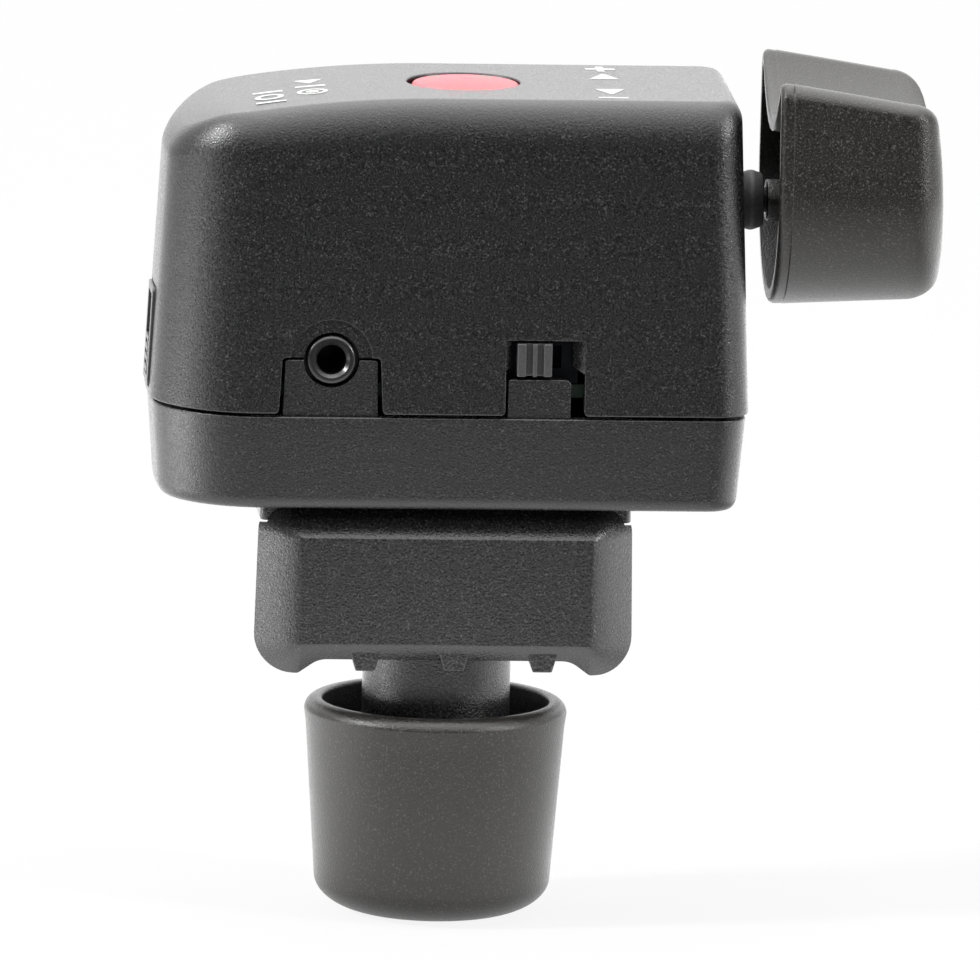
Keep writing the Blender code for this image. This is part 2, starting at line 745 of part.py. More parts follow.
def make_selector():
    face = front_face(selector_middle)
    low = selector_middle - selector_height / 2.0
    high = selector_middle + selector_height / 2.0
    middle_x = selector_left + selector_width / 2.0
    half = selector_width / 2.0
    slider = block("selector_slider", (-half, -selector_proud, low - selector_middle),
                   (half, housing_wall, high - selector_middle), (middle_x, face, selector_middle))
    part(slider, black_matte)
    half_stem = selector_stem_width / 2.0
    join(slider, block("selector_stem", (middle_x - half_stem, face + housing_wall / 2.0,
                                         selector_middle - half_stem),
                       (middle_x + half_stem, face + housing_wall + selector_stem_length,
                        selector_middle + half_stem)))
    for index, side in enumerate((-1.0, 1.0)):
        x = middle_x + side * selector_width / 6.0
        cut(slider, block("selector_groove_" + str(index + 1),
                          (x - selector_groove_width / 2.0, face - selector_proud - overrun, low - overrun),
                          (x + selector_groove_width / 2.0, face - selector_proud + selector_groove_depth,
                           high + overrun)))
    wide, deep, tall = selector_body_size
    body_front = face + housing_wall + 2.0 * fit_gap
    body_middle = middle_x + selector_travel / 2.0
    body_low = board_top + fit_gap
    body = block("selector_switch", (-wide / 2.0, 0.0, 0.0), (wide / 2.0, deep, tall),
                 (body_middle, body_front, body_low))
    part(body, steel)
    cut(body, block("selector_well", (middle_x - half_stem - fit_gap, body_front - overrun,
                                      selector_middle - half_stem - fit_gap),
                    (middle_x + half_stem + selector_travel + fit_gap,
                     face + housing_wall + selector_stem_length + fit_gap,
                     selector_middle + half_stem + fit_gap)))


def make_power_switch():
    half_wide = power_plate_width / 2.0
    half_tall = power_plate_height / 2.0
    plate_back = power_plate_thickness - power_plate_proud
    plate = block("power_plate", (-power_plate_proud, -half_wide, -half_tall),
                  (plate_back, half_wide, half_tall), parent=power_frame)
    part(plate, black_matte)
    half_window = power_window_width / 2.0
    half_window_tall = power_window_height / 2.0
    cut(plate, block("power_window", (-overrun, -half_window, -half_window_tall),
                     (overrun, half_window, half_window_tall), parent=power_frame))
    low = power_slider_low
    half = power_slider_width / 2.0
    half_stem = power_stem_width / 2.0
    slider = block("power_slider", (-power_plate_proud - power_slider_proud, -half, 0.0),
                   (plate_back, half, power_slider_height), (0.0, 0.0, low), power_frame)
    part(slider, black_matte)
    stem_end = housing_wall + power_body_size[0] / 2.0
    join(slider, block("power_stem", (0.0, -half_stem, power_stem_low),
                       (stem_end, half_stem, power_stem_low + power_stem_height), parent=power_frame))
    groove = power_slider_height / 7.0
    for index in (1, 3, 5):
        cut(slider, block("power_groove_" + str(index),
                          (-power_plate_proud - power_slider_proud - overrun, -half - overrun,
                           low + index * groove),
                          (-power_plate_proud, half + overrun, low + (index + 1) * groove),
                          parent=power_frame))
    thick, wide, tall = power_body_size
    front = housing_wall + fit_gap
    body = block("power_switch", (front, -wide / 2.0, power_body_low),
                 (front + thick, wide / 2.0, power_body_low + tall), parent=power_frame)
    part(body, steel)
    cut(body, block("power_well", (front - overrun, -half_stem - fit_gap, power_stem_low - fit_gap),
                    (stem_end + fit_gap, half_stem + fit_gap,
                     power_stem_low + power_stem_height + power_travel + fit_gap), parent=power_frame))


def rocker_section(shrink, count):
    """The rocker's outline across its axis, moved in by shrink: y and z from the axis.

    An elliptical bottom, widest a little over the axis, carries two side walls that lean in
    up to round-tipped lobes, with a saddle curve between them.
    """
    side = rocker_half_width - shrink
    lobe = rocker_lobe_y - shrink
    tip = rocker_lobe_radius - shrink * 0.5
    tip_y = lobe - tip
    tip_z = rocker_lobe_height - shrink - tip
    belly = rocker_bottom + rocker_widest_height - shrink
    bottom = arc(0.0, rocker_widest_height, side, belly, -pi, 0.0, count)
    right_tip = arc(tip_y, tip_z, tip, tip, 0.0, rocker_tip_sweep, count // 3)
    left_tip = [(-y, z) for y, z in reversed(right_tip)]
    start_y, start_z = right_tip[-1]
    dip = rocker_saddle_height - shrink
    saddle = []
    for step in range(1, count // 2):
        share = 1.0 - 2.0 * step / (count // 2)
        saddle.append((start_y * share, dip + (start_z - dip) * abs(share) ** 2.0))
    return bottom + right_tip + saddle + left_tip


def rocker_top_drop(x, z):
    """The lobes slope down towards the far end: a drop that grows with height over the axis."""
    return tan(rocker_top_slope) * x * max(0.0, z) / rocker_lobe_height


def rocker_rings(shrink, start, end, start_round, end_round):
    """Rings from the open rim to the far end, rounded at both and bulged at the far end."""
    section = rocker_section(shrink, rocker_steps)
    reach = rocker_half_width - shrink
    quarter = [pi / 2.0 * step / 4.0 for step in range(5)]
    stations = [(start, 0.0, 0.0)]
    if start_round:
        stations = [(start + start_round * (1.0 - cos(angle)), start_round * (1.0 - sin(angle)), 0.0)
                    for angle in quarter[::2]]
    for angle in quarter:
        stations.append((end - end_round * (1.0 - sin(angle)), end_round * (1.0 - cos(angle)), 0.0))
    for share in (0.4, 0.75):
        inward = end_round + (reach - end_round) * share
        stations.append((end, inward, rocker_end_bulge * (1.0 - (1.0 - share) ** 2)))
    rings = []
    for x, inward, bulge in stations:
        scale = 1.0 - inward / reach
        ring = []
        for y, z in section:
            flat = min(x, end - end_round)
            ring.append((x + bulge, y * scale, (z - rocker_top_drop(flat, z)) * scale))
        rings.append(ring)
    return rings


def make_rocker():
    length = rocker_end_x - rocker_rim_x
    place = (rocker_rim_x, 0.0, rocker_axis_height)
    rocker = loft("zoom_rocker", rocker_rings(0.0, 0.0, length, rocker_rim_radius, rocker_end_radius), place)
    part(rocker, black_gloss)
    hollow_end = length - rocker_wall
    cut(rocker, loft("rocker_hollow", rocker_rings(rocker_wall, -overrun, hollow_end, 0.0,
                                                   rocker_end_radius - rocker_wall), place))
    join(rocker, rod("rocker_hub", rocker_hub_radius, (rocker_hub_x, 0.0, rocker_axis_height),
                     rocker_end_x - rocker_wall / 2.0, round_steps, "X"))
    cut(rocker, rod("rocker_hub_bore", shaft_radius + fit_gap,
                    (rocker_hub_x - overrun, 0.0, rocker_axis_height),
                    rocker_hub_x + shaft_in_hub + fit_gap, small_steps, "X"))
    return rocker


def make_rocker_mount():
    height = rocker_axis_height
    pot_end = pot_x + pot_length
    bracket_x = pot_end + fit_gap
    nut_x = bracket_x + bracket_thickness + fit_gap
    nut_end = nut_x + nut_thickness
    bush_end = nut_end + fit_gap
    pot = turned("potentiometer", [
        (shaft_radius + fit_gap, bush_end - pot_x), (pot_bush_radius, bush_end - pot_x),
        (pot_bush_radius, pot_length), (pot_radius, pot_length), (pot_radius, 0.0),
        (shaft_radius + fit_gap, 0.0)], (pot_x, 0.0, height), "X", closed=True)
    part(pot, steel)
    half_tall = bracket_height / 2.0
    half_wide = inner_half_depth - wall_inset(height + half_tall) - fit_gap
    bracket = block("pot_bracket", (0.0, -half_wide, -half_tall), (bracket_thickness, half_wide, half_tall),
                    (bracket_x, 0.0, height))
    part(bracket, steel)
    cut(bracket, rod("bracket_hole", pot_bush_radius + fit_gap, (bracket_x - overrun, 0.0, height),
                     bracket_x + bracket_thickness + overrun, round_steps, "X"))
    nut = rod("pot_nut", nut_radius, (nut_x, 0.0, height), nut_end, 6, "X")
    part(nut, brass)
    cut(nut, rod("nut_hole", pot_bush_radius + fit_gap, (nut_x - overrun, 0.0, height), nut_end + overrun,
                 round_steps, "X"))
    cam_start = bush_end + fit_gap
    cam_end = cam_start + cam_length
    shaft_end = rocker_hub_x + shaft_in_hub
    shaft = turned("rocker_shaft", [
        (0.0, shaft_end - cam_start), (shaft_radius, shaft_end - cam_start), (shaft_radius, cam_length),
        (cam_radius, cam_length), (cam_radius, 0.0), (shaft_radius, 0.0),
        (shaft_radius, pot_x - cam_start + overrun), (0.0, pot_x - cam_start + overrun)],
        (cam_start, 0.0, height), "X", small_steps)
    part(shaft, steel)
    make_spring(cam_start + spring_wire_radius, cam_end - spring_wire_radius, height)
    wall_x = right_face(height)
    hole = shaft_radius + fit_gap
    barrel = collar_radius - collar_barrel
    collar_start = wall_x + fit_gap
    collar_middle = (collar_start + collar_end_x) / 2.0
    bush = turned("shaft_bush", [(radius, x - wall_x) for radius, x in (
        (hole, collar_end_x), (barrel, collar_end_x), (collar_radius, collar_middle + overrun / 2.0),
        (collar_radius, collar_middle - overrun / 2.0), (barrel, collar_start), (bush_radius, collar_start),
        (bush_radius, bush_inner_end), (hole, bush_inner_end))], (wall_x, 0.0, height), "X", closed=True)
    part(bush, black_rubber)
    clip = turned("bush_clip", [
        (bush_radius + fit_gap, clip_thickness), (clip_radius, clip_thickness), (clip_radius, 0.0),
        (bush_radius + fit_gap, 0.0)], (clip_x, 0.0, height), "X", small_steps, closed=True)
    part(clip, steel)


def make_spring(start, end, height):
    """The torsion spring that centres the rocker, wound round the cam on its shaft."""
    count = int(spring_turns * spring_points_per_turn)
    curve = bpy.data.curves.new("spring_path", "CURVE")
    curve.dimensions = "3D"
    curve.bevel_depth = spring_wire_radius
    curve.bevel_resolution = 1
    curve.use_fill_caps = True
    line = curve.splines.new("POLY")
    line.points.add(count)
    for index in range(count + 1):
        angle = 2.0 * pi * spring_turns * index / count
        along = (end - start) * index / count
        line.points[index].co = (along, spring_radius * sin(angle), spring_radius * cos(angle), 1.0)
    path = new_object("spring_path", curve, (start, 0.0, height))
    cutters.objects.link(path)
    bpy.context.view_layer.update()
    graph = bpy.context.evaluated_depsgraph_get()
    mesh = bpy.data.meshes.new_from_object(path.evaluated_get(graph))
    bm = bmesh.new()
    bm.from_mesh(mesh)
    bmesh.ops.remove_doubles(bm, verts=bm.verts, dist=merge_distance)
    spring = new_object("centring_spring", mesh_of("centring_spring", bm))
    spring.matrix_world = path.matrix_world
    bpy.data.objects.remove(path)
    return part(spring, steel)


def make_clamp_body():
    half = clamp_width / 2.0
    front = -clamp_front
    body = block("clamp_body", (-half, front, clamp_edge_height), (half, clamp_spine_back, clamp_top),
                 round_edges=lambda a, b: a.y < 0.0 and b.y < 0.0 and a.z * b.z < 0.0,
                 radius=clamp_front_radius, segments=6)
    part(body, black_matte)
    top_round = clamp_top_radius
    corner = [(-half - overrun, clamp_top + overrun), (-half - overrun, clamp_top - top_round)]
    corner += arc(top_round - half, clamp_top - top_round, top_round, top_round, pi, pi / 2.0, 5)
    corner += [(top_round - half, clamp_top + overrun)]
    for name, side in (("clamp_corner_1", 1.0), ("clamp_corner_2", -1.0)):
        outline = [(x * side, z) for x, z in corner]
        cut(body, prism(name, outline, front - overrun, clamp_spine_back + overrun))
    foot = clamp_foot_width
    soft = clamp_bottom_radius
    for name, side in (("clamp_foot_1", -1.0), ("clamp_foot_2", 1.0)):
        outer = half - clamp_front_radius / 4.0
        outline = [(outer, clamp_arm_bottom + soft), (outer - soft / 2.0, clamp_foot_height + soft)]
        outline += arc(outer - 2.0 * soft, clamp_foot_height + soft, soft, soft, 0.0, -pi / 2.0, 4)
        outline += arc(outer - foot, clamp_foot_height + soft, soft, soft, -pi / 2.0, -pi, 4)
        inner = outer - foot - 2.0 * soft
        outline += [(inner, clamp_arm_bottom), (inner, clamp_arm_top - soft), (outer, clamp_arm_top - soft)]
        outline = [(x * side, z) for x, z in outline]
        join(body, prism(name, outline, front + soft, clamp_back - soft))
    arm = block("clamp_arm", (-half + soft, clamp_spine_back - soft, clamp_arm_bottom),
                (half - soft, clamp_back, clamp_arm_top),
                round_edges=lambda a, b: a.y > 0.0 and b.y > 0.0 and a.z * b.z < 0.0,
                radius=clamp_front_radius, segments=4)
    ledge_top = jaw_plate_bottom - fit_gap
    ledge = block("clamp_ledge", (-half + clamp_front_radius, clamp_spine_back - soft,
                                  ledge_top - clamp_ledge_height),
                  (half - clamp_front_radius, clamp_ledge_depth - clamp_front, ledge_top))
    join(body, arm, ledge, rod("clamp_boss", boss_radius, (0.0, 0.0, boss_bottom),
                               clamp_arm_bottom + clamp_arm_thickness / 2.0, fine_steps))
    for index in (-1, 0, 1):
        x = rib_offset + index * rib_spacing
        half_top = rib_top_width / 2.0
        half_foot = rib_foot_width / 2.0
        outline = [(x - half_top, clamp_arm_bottom + soft), (x - half_top, clamp_arm_bottom),
                   (x - half_foot, rib_foot_height), (x + half_foot, rib_foot_height),
                   (x + half_top, clamp_arm_bottom), (x + half_top, clamp_arm_bottom + soft)]
        join(body, prism("clamp_rib_" + str(index + 2), outline, front + soft, clamp_back - 2.0 * soft))
    plate_room = new_object("jaw_plate_room", block_mesh("jaw_plate_room", (
        -half - overrun, -jaw_plate_front - fit_gap, ledge_top), (
        half + overrun, clamp_back, clamp_top + overrun)))
    insert_room = insert_radius + fit_gap
    insert_top = boss_bottom + insert_length + 2.0 * fit_gap
    cut(body, plate_room,
        rod("insert_bore", insert_room, (0.0, 0.0, boss_bottom - overrun), insert_top, round_steps),
        rod("screw_bore", screw_radius + fit_gap, (0.0, 0.0, boss_bottom), clamp_arm_top + overrun,
            round_steps),
        rod("pad_pocket", pad_radius + fit_gap, (0.0, 0.0, pad_pocket_floor), clamp_arm_top + overrun,
            round_steps))
    for index, side in enumerate((-1.0, 1.0)):
        cut(body, rod("jaw_screw_pilot_" + str(index + 1), jaw_screw_radius + fit_gap,
                      (side * jaw_screw_x, jaw_screw_y, ledge_top + overrun), jaw_screw_tip - fit_gap,
                      small_steps))
    return body


def make_jaw():
    half = jaw_plate_width / 2.0
    plate = block("jaw_plate", (-half, -jaw_plate_front, 0.0), (half, jaw_plate_back, jaw_plate_thickness),
                  (0.0, 0.0, jaw_plate_bottom))
    part(plate, black_matte)
    for index, side in enumerate((-1.0, 1.0)):
        name = str(index + 1)
        x = side * jaw_screw_x
        head_floor = jaw_plate_top - jaw_screw_head_height - fit_gap
        cut(plate,
            rod("jaw_screw_hole_" + name, jaw_screw_radius + fit_gap,
                (x, jaw_screw_y, jaw_plate_bottom - overrun), jaw_plate_top + overrun, small_steps),
            rod("jaw_screw_sink_" + name, jaw_screw_head_radius + fit_gap, (x, jaw_screw_y, head_floor),
                jaw_plate_top + overrun, small_steps))
        add_screw("jaw_screw_" + name, (x, jaw_screw_y, head_floor + fit_gap), jaw_screw_radius,
                  jaw_screw_length, jaw_screw_head_radius, jaw_screw_head_height - fit_gap, True)
        x = side * jaw_fixing_x
        sink_top = jaw_plate_bottom + jaw_screw_head_height
        cut(plate,
            rod("jaw_fixing_hole_" + name, jaw_screw_radius + fit_gap,
                (x, jaw_fixing_y, jaw_plate_bottom - overrun), jaw_plate_top + overrun, small_steps),
            rod("jaw_fixing_sink_" + name, jaw_screw_head_radius + fit_gap,
                (x, jaw_fixing_y, jaw_plate_bottom - overrun), sink_top, small_steps))
        add_screw("jaw_fixing_" + name, (x, jaw_fixing_y, sink_top - fit_gap), jaw_screw_radius,
                  jaw_fixing_length, jaw_screw_head_radius, jaw_screw_head_height - fit_gap)
    half_x = jaw_pad_size[0] / 2.0
    half_y = jaw_pad_size[1] / 2.0
    pad_y = (clamp_ledge_depth - clamp_front + jaw_plate_back) / 2.0 + fit_gap
    pad = block("jaw_pad", (-half_x, -half_y, -jaw_pad_thickness), (half_x, half_y, 0.0),
                (0.0, pad_y, jaw_plate_bottom - fit_gap),
                round_edges=lambda a, b: a.z * b.z < 0.0, radius=clamp_bottom_radius, segments=3)
    part(pad, black_rubber)


def make_clamp_screw():
    insert_bottom = boss_bottom + fit_gap
    insert = turned("threaded_insert", [
        (screw_radius + fit_gap, insert_length), (insert_radius, insert_length), (insert_radius, 0.0),
        (screw_radius + fit_gap, 0.0)], (0.0, 0.0, insert_bottom), closed=True)
    part(insert, brass)
    low = knob_bore_floor + fit_gap
    chamfer = screw_radius / 6.0
    screw = turned("clamp_screw", [
        (0.0, screw_top + screw_nose_length), (screw_nose_radius, screw_top + screw_nose_length),
        (screw_nose_radius, screw_top), (screw_radius - chamfer, screw_top),
        (screw_radius, screw_top - chamfer), (screw_radius, low), (0.0, low)])
    part(screw, steel)
    pad = turned("pressure_pad", [
        (0.0, pad_thickness), (pad_radius - chamfer, pad_thickness), (pad_radius, pad_thickness - chamfer),
        (pad_radius, 0.0), (screw_nose_radius + fit_gap, 0.0),
        (screw_nose_radius + fit_gap, screw_nose_length), (0.0, screw_nose_length)],
        (0.0, 0.0, pad_bottom))
    part(pad, grey_plastic)
    face = turned("pressure_pad_face", [
        (0.0, pad_face_thickness), (pad_radius - chamfer, pad_face_thickness),
        (pad_radius, pad_face_thickness - chamfer), (pad_radius, 0.0), (0.0, 0.0)],
        (0.0, 0.0, pad_top + fit_gap))
    part(face, black_rubber)


def knob_radius(height):
    return knob_rim_radius - knob_taper * (knob_height - height)


def make_knob():
    outer = knob_rim_outer_round
    inner = knob_rim_inner_round
    inner_radius = knob_rim_radius - knob_wall
    profile = [(0.0, knob_bore_floor), (screw_radius + fit_gap, knob_bore_floor),
               (screw_radius + fit_gap, knob_post_top), (knob_post_radius, knob_post_top),
               (knob_post_radius, knob_floor), (knob_radius(knob_floor) - knob_wall, knob_floor)]
    profile += arc(inner_radius + inner, knob_height - inner, inner, inner, pi, pi / 2.0, 2)
    profile += arc(knob_rim_radius - outer, knob_height - outer, outer, outer, pi / 2.0, knob_taper, 4)
    foot_top = knob_foot_round_height
    foot_radius = knob_radius(foot_top)
    profile += arc(foot_radius - knob_foot_round_width, foot_top, knob_foot_round_width, foot_top,
                   -knob_taper, -pi / 2.0, 6)
    profile += [(0.0, 0.0)]
    knob = turned("clamp_knob", profile, steps=fine_steps)
    return part(knob, black_gloss)


# Places that the power switch takes on its own tilted frame, which lies on the left wall
power_middle_height = seam_height + power_plate_rise + power_plate_height / 2.0
power_frame = new_object("power_switch_frame", None,
                         (left_face(power_middle_height), 0.0, power_middle_height), (0.0, upper_draft, 0.0))
parts.objects.link(power_frame)
power_slider_low = -power_window_height / 2.0 + fit_gap
power_stem_low = power_slider_low + (power_slider_height - power_stem_height) / 2.0
power_body_low = power_stem_low + (power_stem_height + power_travel - power_body_size[2]) / 2.0
jaw_screw_y = jaw_screw_head_radius + 3.0 * fit_gap - jaw_plate_front
jaw_screw_tip = jaw_plate_top - jaw_screw_head_height - jaw_screw_length

make_upper_shell()
make_lower_shell()
make_boards()
make_button()
make_jack()
make_selector()
make_power_switch()
make_rocker()
make_rocker_mount()
for number, (screw_x, screw_y) in enumerate(case_screw_places):
    add_screw("case_screw_" + str(number + 1), (screw_x, screw_y, housing_bottom + case_screw_recess),
              case_screw_radius, case_screw_length, case_screw_head_radius, case_screw_head_height)
make_clamp_body()
make_jaw()
make_clamp_screw()
make_knob()
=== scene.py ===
import json
from math import cos, pi, radians, sin, tan

import bmesh
import bpy
import numpy as np
from mathutils import Matrix, Vector


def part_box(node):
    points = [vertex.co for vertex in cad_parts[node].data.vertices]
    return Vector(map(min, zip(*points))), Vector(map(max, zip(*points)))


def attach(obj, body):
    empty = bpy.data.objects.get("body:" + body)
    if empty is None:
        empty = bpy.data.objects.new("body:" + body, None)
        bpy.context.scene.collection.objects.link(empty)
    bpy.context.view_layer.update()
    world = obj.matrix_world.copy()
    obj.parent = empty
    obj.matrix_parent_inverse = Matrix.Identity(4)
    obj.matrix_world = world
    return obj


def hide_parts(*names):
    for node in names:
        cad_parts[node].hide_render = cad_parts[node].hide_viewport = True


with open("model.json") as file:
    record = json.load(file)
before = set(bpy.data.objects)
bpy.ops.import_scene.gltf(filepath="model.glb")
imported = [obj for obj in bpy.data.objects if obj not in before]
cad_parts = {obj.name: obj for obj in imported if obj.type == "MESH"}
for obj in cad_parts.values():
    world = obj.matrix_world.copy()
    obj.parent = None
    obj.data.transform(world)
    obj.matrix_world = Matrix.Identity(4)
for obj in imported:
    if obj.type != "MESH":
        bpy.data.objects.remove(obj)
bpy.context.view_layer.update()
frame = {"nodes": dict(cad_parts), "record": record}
mm = 0.001
weld = 0.0005 * mm     # points closer than this are one
overrun = 1.0 * mm     # how far a cutter stands out of what it cuts
tinyRound = 0.1 * mm   # an edge that is only broken
smallRound = 0.2 * mm
edgeRound = 0.3 * mm   # an edge with a round that shows
leastSteps = 4         # steps along a small arc that hardly shows
fewSteps = 5           # steps along the arc of a small piece
moreSteps = 8          # steps along an arc that the camera is close to
smallTurn = 48         # steps round a screw
largeTurn = 128        # steps round a piece that the camera is close to
scene = bpy.context.scene
print("frame loaded:", len(frame["nodes"]), "nodes")


# Shapes: every skin is a grid of points that closes round in its columns

def middleOf(node):
    # Centre of a CAD node's box
    low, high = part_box(node)
    return [(a + b) / 2.0 for a, b in zip(low, high)]


def surface(name, grid, loopRows=False, caps=False):
    # Lays a skin over a grid of points, rows by columns. Rows close round too, or end in flat
    # caps, or end in a row where all the points are one.
    rows, columns = grid.shape[:2]
    index = np.arange(rows * columns).reshape(rows, columns)
    here = index if loopRows else index[:-1]
    below = np.roll(index, -1, 0) if loopRows else index[1:]
    quads = np.stack([here, np.roll(here, -1, 1), np.roll(below, -1, 1), below], -1)
    faces = quads.reshape(-1, 4).tolist()
    if caps:
        faces += [index[0].tolist(), index[-1].tolist()]
    mesh = bpy.data.meshes.new(name)
    mesh.from_pydata(grid.reshape(-1, 3).tolist(), [], faces)
    skin = bmesh.new()
    skin.from_mesh(mesh)
    bmesh.ops.remove_doubles(skin, verts=skin.verts, dist=weld)
    bmesh.ops.dissolve_degenerate(skin, edges=skin.edges, dist=weld)
    bmesh.ops.recalc_face_normals(skin, faces=skin.faces)
    skin.to_mesh(mesh)
    skin.free()
    thing = bpy.data.objects.new(name, mesh)
    scene.collection.objects.link(thing)
    return thing


def rounded(corners, steps=6):
    # Turns each corner (across, up, radius) of a closed outline into an arc that touches both
    # of its sides: the arc's centre lies on the corner's bisector.
    table = np.array(corners, float)
    spots, radius = table[:, :2], table[:, 2:]
    back = np.roll(spots, 1, 0) - spots
    ahead = np.roll(spots, -1, 0) - spots
    back /= np.linalg.norm(back, axis=1, keepdims=True)
    ahead /= np.linalg.norm(ahead, axis=1, keepdims=True)
    inside = np.arccos(np.clip((back * ahead).sum(1, keepdims=True), -1.0, 1.0))
    inside = np.clip(inside, 0.001, pi - 0.001)
    reach = radius / np.tan(inside / 2.0)
    centre = spots + (back + ahead) * radius / np.sin(inside)
    first = (spots + back * reach - centre)[:, None]
    last = (spots + ahead * reach - centre)[:, None]
    share = np.linspace(0.0, 1.0, steps + 1)[None, :, None]
    turn = (pi - inside)[:, None]
    arcs = (first * np.sin((1.0 - share) * turn) + last * np.sin(share * turn)) / np.sin(turn)
    return (centre[:, None] + arcs).reshape(-1, 2)


def grown(corners, by):
    # Moves a closed outline outwards: each corner goes along its bisector, outer corners get
    # a larger radius and inner ones a smaller one.
    table = np.array(corners, float)
    spots = table[:, :2]
    side = np.roll(spots, -1, 0) - spots
    area = (spots[:, 0] * np.roll(spots[:, 1], -1) - np.roll(spots[:, 0], -1) * spots[:, 1]).sum()
    side /= np.linalg.norm(side, axis=1, keepdims=True)
    outward = np.stack([side[:, 1], -side[:, 0]], -1) * np.sign(area)
    before = np.roll(outward, 1, 0)
    share = 1.0 + (outward * before).sum(1, keepdims=True)
    cameFrom = np.roll(side, 1, 0)
    bend = (cameFrom[:, 0] * side[:, 1] - cameFrom[:, 1] * side[:, 0]) * np.sign(area)
    radius = np.maximum(table[:, 2] + np.where(bend > 0.0, by, -by), 0.0)
    return np.column_stack([spots + (outward + before) / share * by, radius])


# Which of (across, up, depth) becomes X, Y and Z where a shape is drawn out along an axis
placeAlong = {"z": [0, 1, 2], "y": [0, 2, 1], "x": [2, 0, 1]}


def softPrism(name, corners, low, high, rim, along="y", steps=6, rimSteps=4):
    # Draws an outline out from low to high along an axis, with both rims rounded as quarter
    # circles: as the outline comes in by rim, the depth runs out by rim.
    quarter = np.linspace(0.0, pi / 2.0, rimSteps + 1)
    inset = rim * (1.0 - np.sin(quarter))
    depth = rim * (1.0 - np.cos(quarter))
    insets = np.concatenate([inset, inset[::-1]])
    levels = np.concatenate([low + depth, (high - depth)[::-1]])
    rings = np.stack([rounded(grown(corners, -each), steps) for each in insets])
    grid = np.concatenate([rings, np.broadcast_to(levels[:, None, None], (*rings.shape[:2], 1))], -1)
    return surface(name, grid[..., placeAlong[along]], caps=True)


def turned(name, profile, centre=(0.0, 0.0, 0.0), along="z", steps=96, loopRows=False):
    # Sweeps a profile of (radius, height) round an axis: each point goes round its own circle.
    profile = np.asarray(profile, float)
    angle = np.linspace(0.0, 2.0 * pi, steps, endpoint=False)[None, :]
    radius, height = profile[:, :1], profile[:, 1:2]
    grid = np.stack([radius * np.cos(angle), radius * np.sin(angle), height + 0.0 * angle], -1)
    return surface(name, grid[..., placeAlong[along]] + np.array(centre), loopRows=loopRows)


def rod(name, radius, low, high, centre=(0.0, 0.0, 0.0), along="z", steps=96):
    # A plain cylinder between two heights
    return turned(name, [(0.0, low), (radius, low), (radius, high), (0.0, high)], centre, along, steps)


def box(low, high, radius=0.0):
    # Corners of a rectangle between two points, all with one radius
    return [(low[0], low[1], radius), (high[0], low[1], radius), (high[0], high[1], radius),
            (low[0], high[1], radius)]


def panel(wide, tall, radius=0.0):
    # Corners of a rectangle round the origin
    return box((-wide / 2.0, -tall / 2.0), (wide / 2.0, tall / 2.0), radius)


def disc(centre, radius):
    # A square whose corners are rounded until it is a circle
    return box((centre[0] - radius, centre[1] - radius), (centre[0] + radius, centre[1] + radius),
               radius * 0.9999)


def merged(piece, others, operation="UNION"):
    # Joins other skins to a piece, or cuts them out of it, and keeps only the result
    for other in others:
        step = piece.modifiers.new("step", "BOOLEAN")
        step.operation = operation
        step.solver = "EXACT"
        step.object = other
    bpy.context.view_layer.update()
    graph = bpy.context.evaluated_depsgraph_get()
    result = bpy.data.meshes.new_from_object(piece.evaluated_get(graph))
    piece.modifiers.clear()
    piece.data = result
    for other in others:
        bpy.data.objects.remove(other)
    return piece


def carved(piece, others):
    return merged(piece, others, "DIFFERENCE")


def moved(piece, change):
    # Applies a function of the whole point array to a piece's points
    mesh = piece.data
    points = np.empty(len(mesh.vertices) * 3)
    mesh.vertices.foreach_get("co", points)
    mesh.vertices.foreach_set("co", change(points.reshape(-1, 3)).ravel())
    mesh.update()
    return piece


def finished(piece, material, body, replaced=(), sharp=32.0):
    # Shades a piece, gives it its finish and says what it rides on and stands for
    piece.data.materials.clear()
    piece.data.materials.append(material)
    piece.data.shade_smooth()
    piece.data.set_sharp_from_angle(angle=radians(sharp))
    even = piece.modifiers.new("even normals", "WEIGHTED_NORMAL")
    even.keep_sharp = True
    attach(piece, body)
    if replaced:
        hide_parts(*replaced)
    return piece


# Materials

def linear(code):
    # Turns an sRGB hex colour into the linear values that the shaders take, by sRGB's own curve
    channels = [int(code[at:at + 2], 16) / 255.0 for at in (1, 3, 5)]
    curve = [c / 12.92 if c <= 0.04045 else ((c + 0.055) / 1.055) ** 2.4 for c in channels]
    return (*curve, 1.0)


def addNode(tree, kind, settings=None, links=None):
    node = tree.nodes.new(kind)
    for key, value in (settings or {}).items():
        if isinstance(key, int) or key in node.inputs:
            node.inputs[key].default_value = value
        else:
            setattr(node, key, value)
    for key, source in (links or {}).items():
        tree.links.new(source, node.inputs[key])
    return node


def startMaterial(name):
    material = bpy.data.materials.new(name)
    material.use_nodes = True
    tree = material.node_tree
    tree.nodes.clear()
    place = addNode(tree, "ShaderNodeTexCoord").outputs["Object"]
    return material, tree, place


def endMaterial(tree, shader):
    addNode(tree, "ShaderNodeOutputMaterial", links={"Surface": shader.outputs[0]})


# Where the values of a noise texture lie, and how soft a fleck's edge is
noise = {"detail": 0.6, "low": 0.35, "high": 0.65, "least": 0.3, "most": 0.7, "fleckEdge": 0.08}


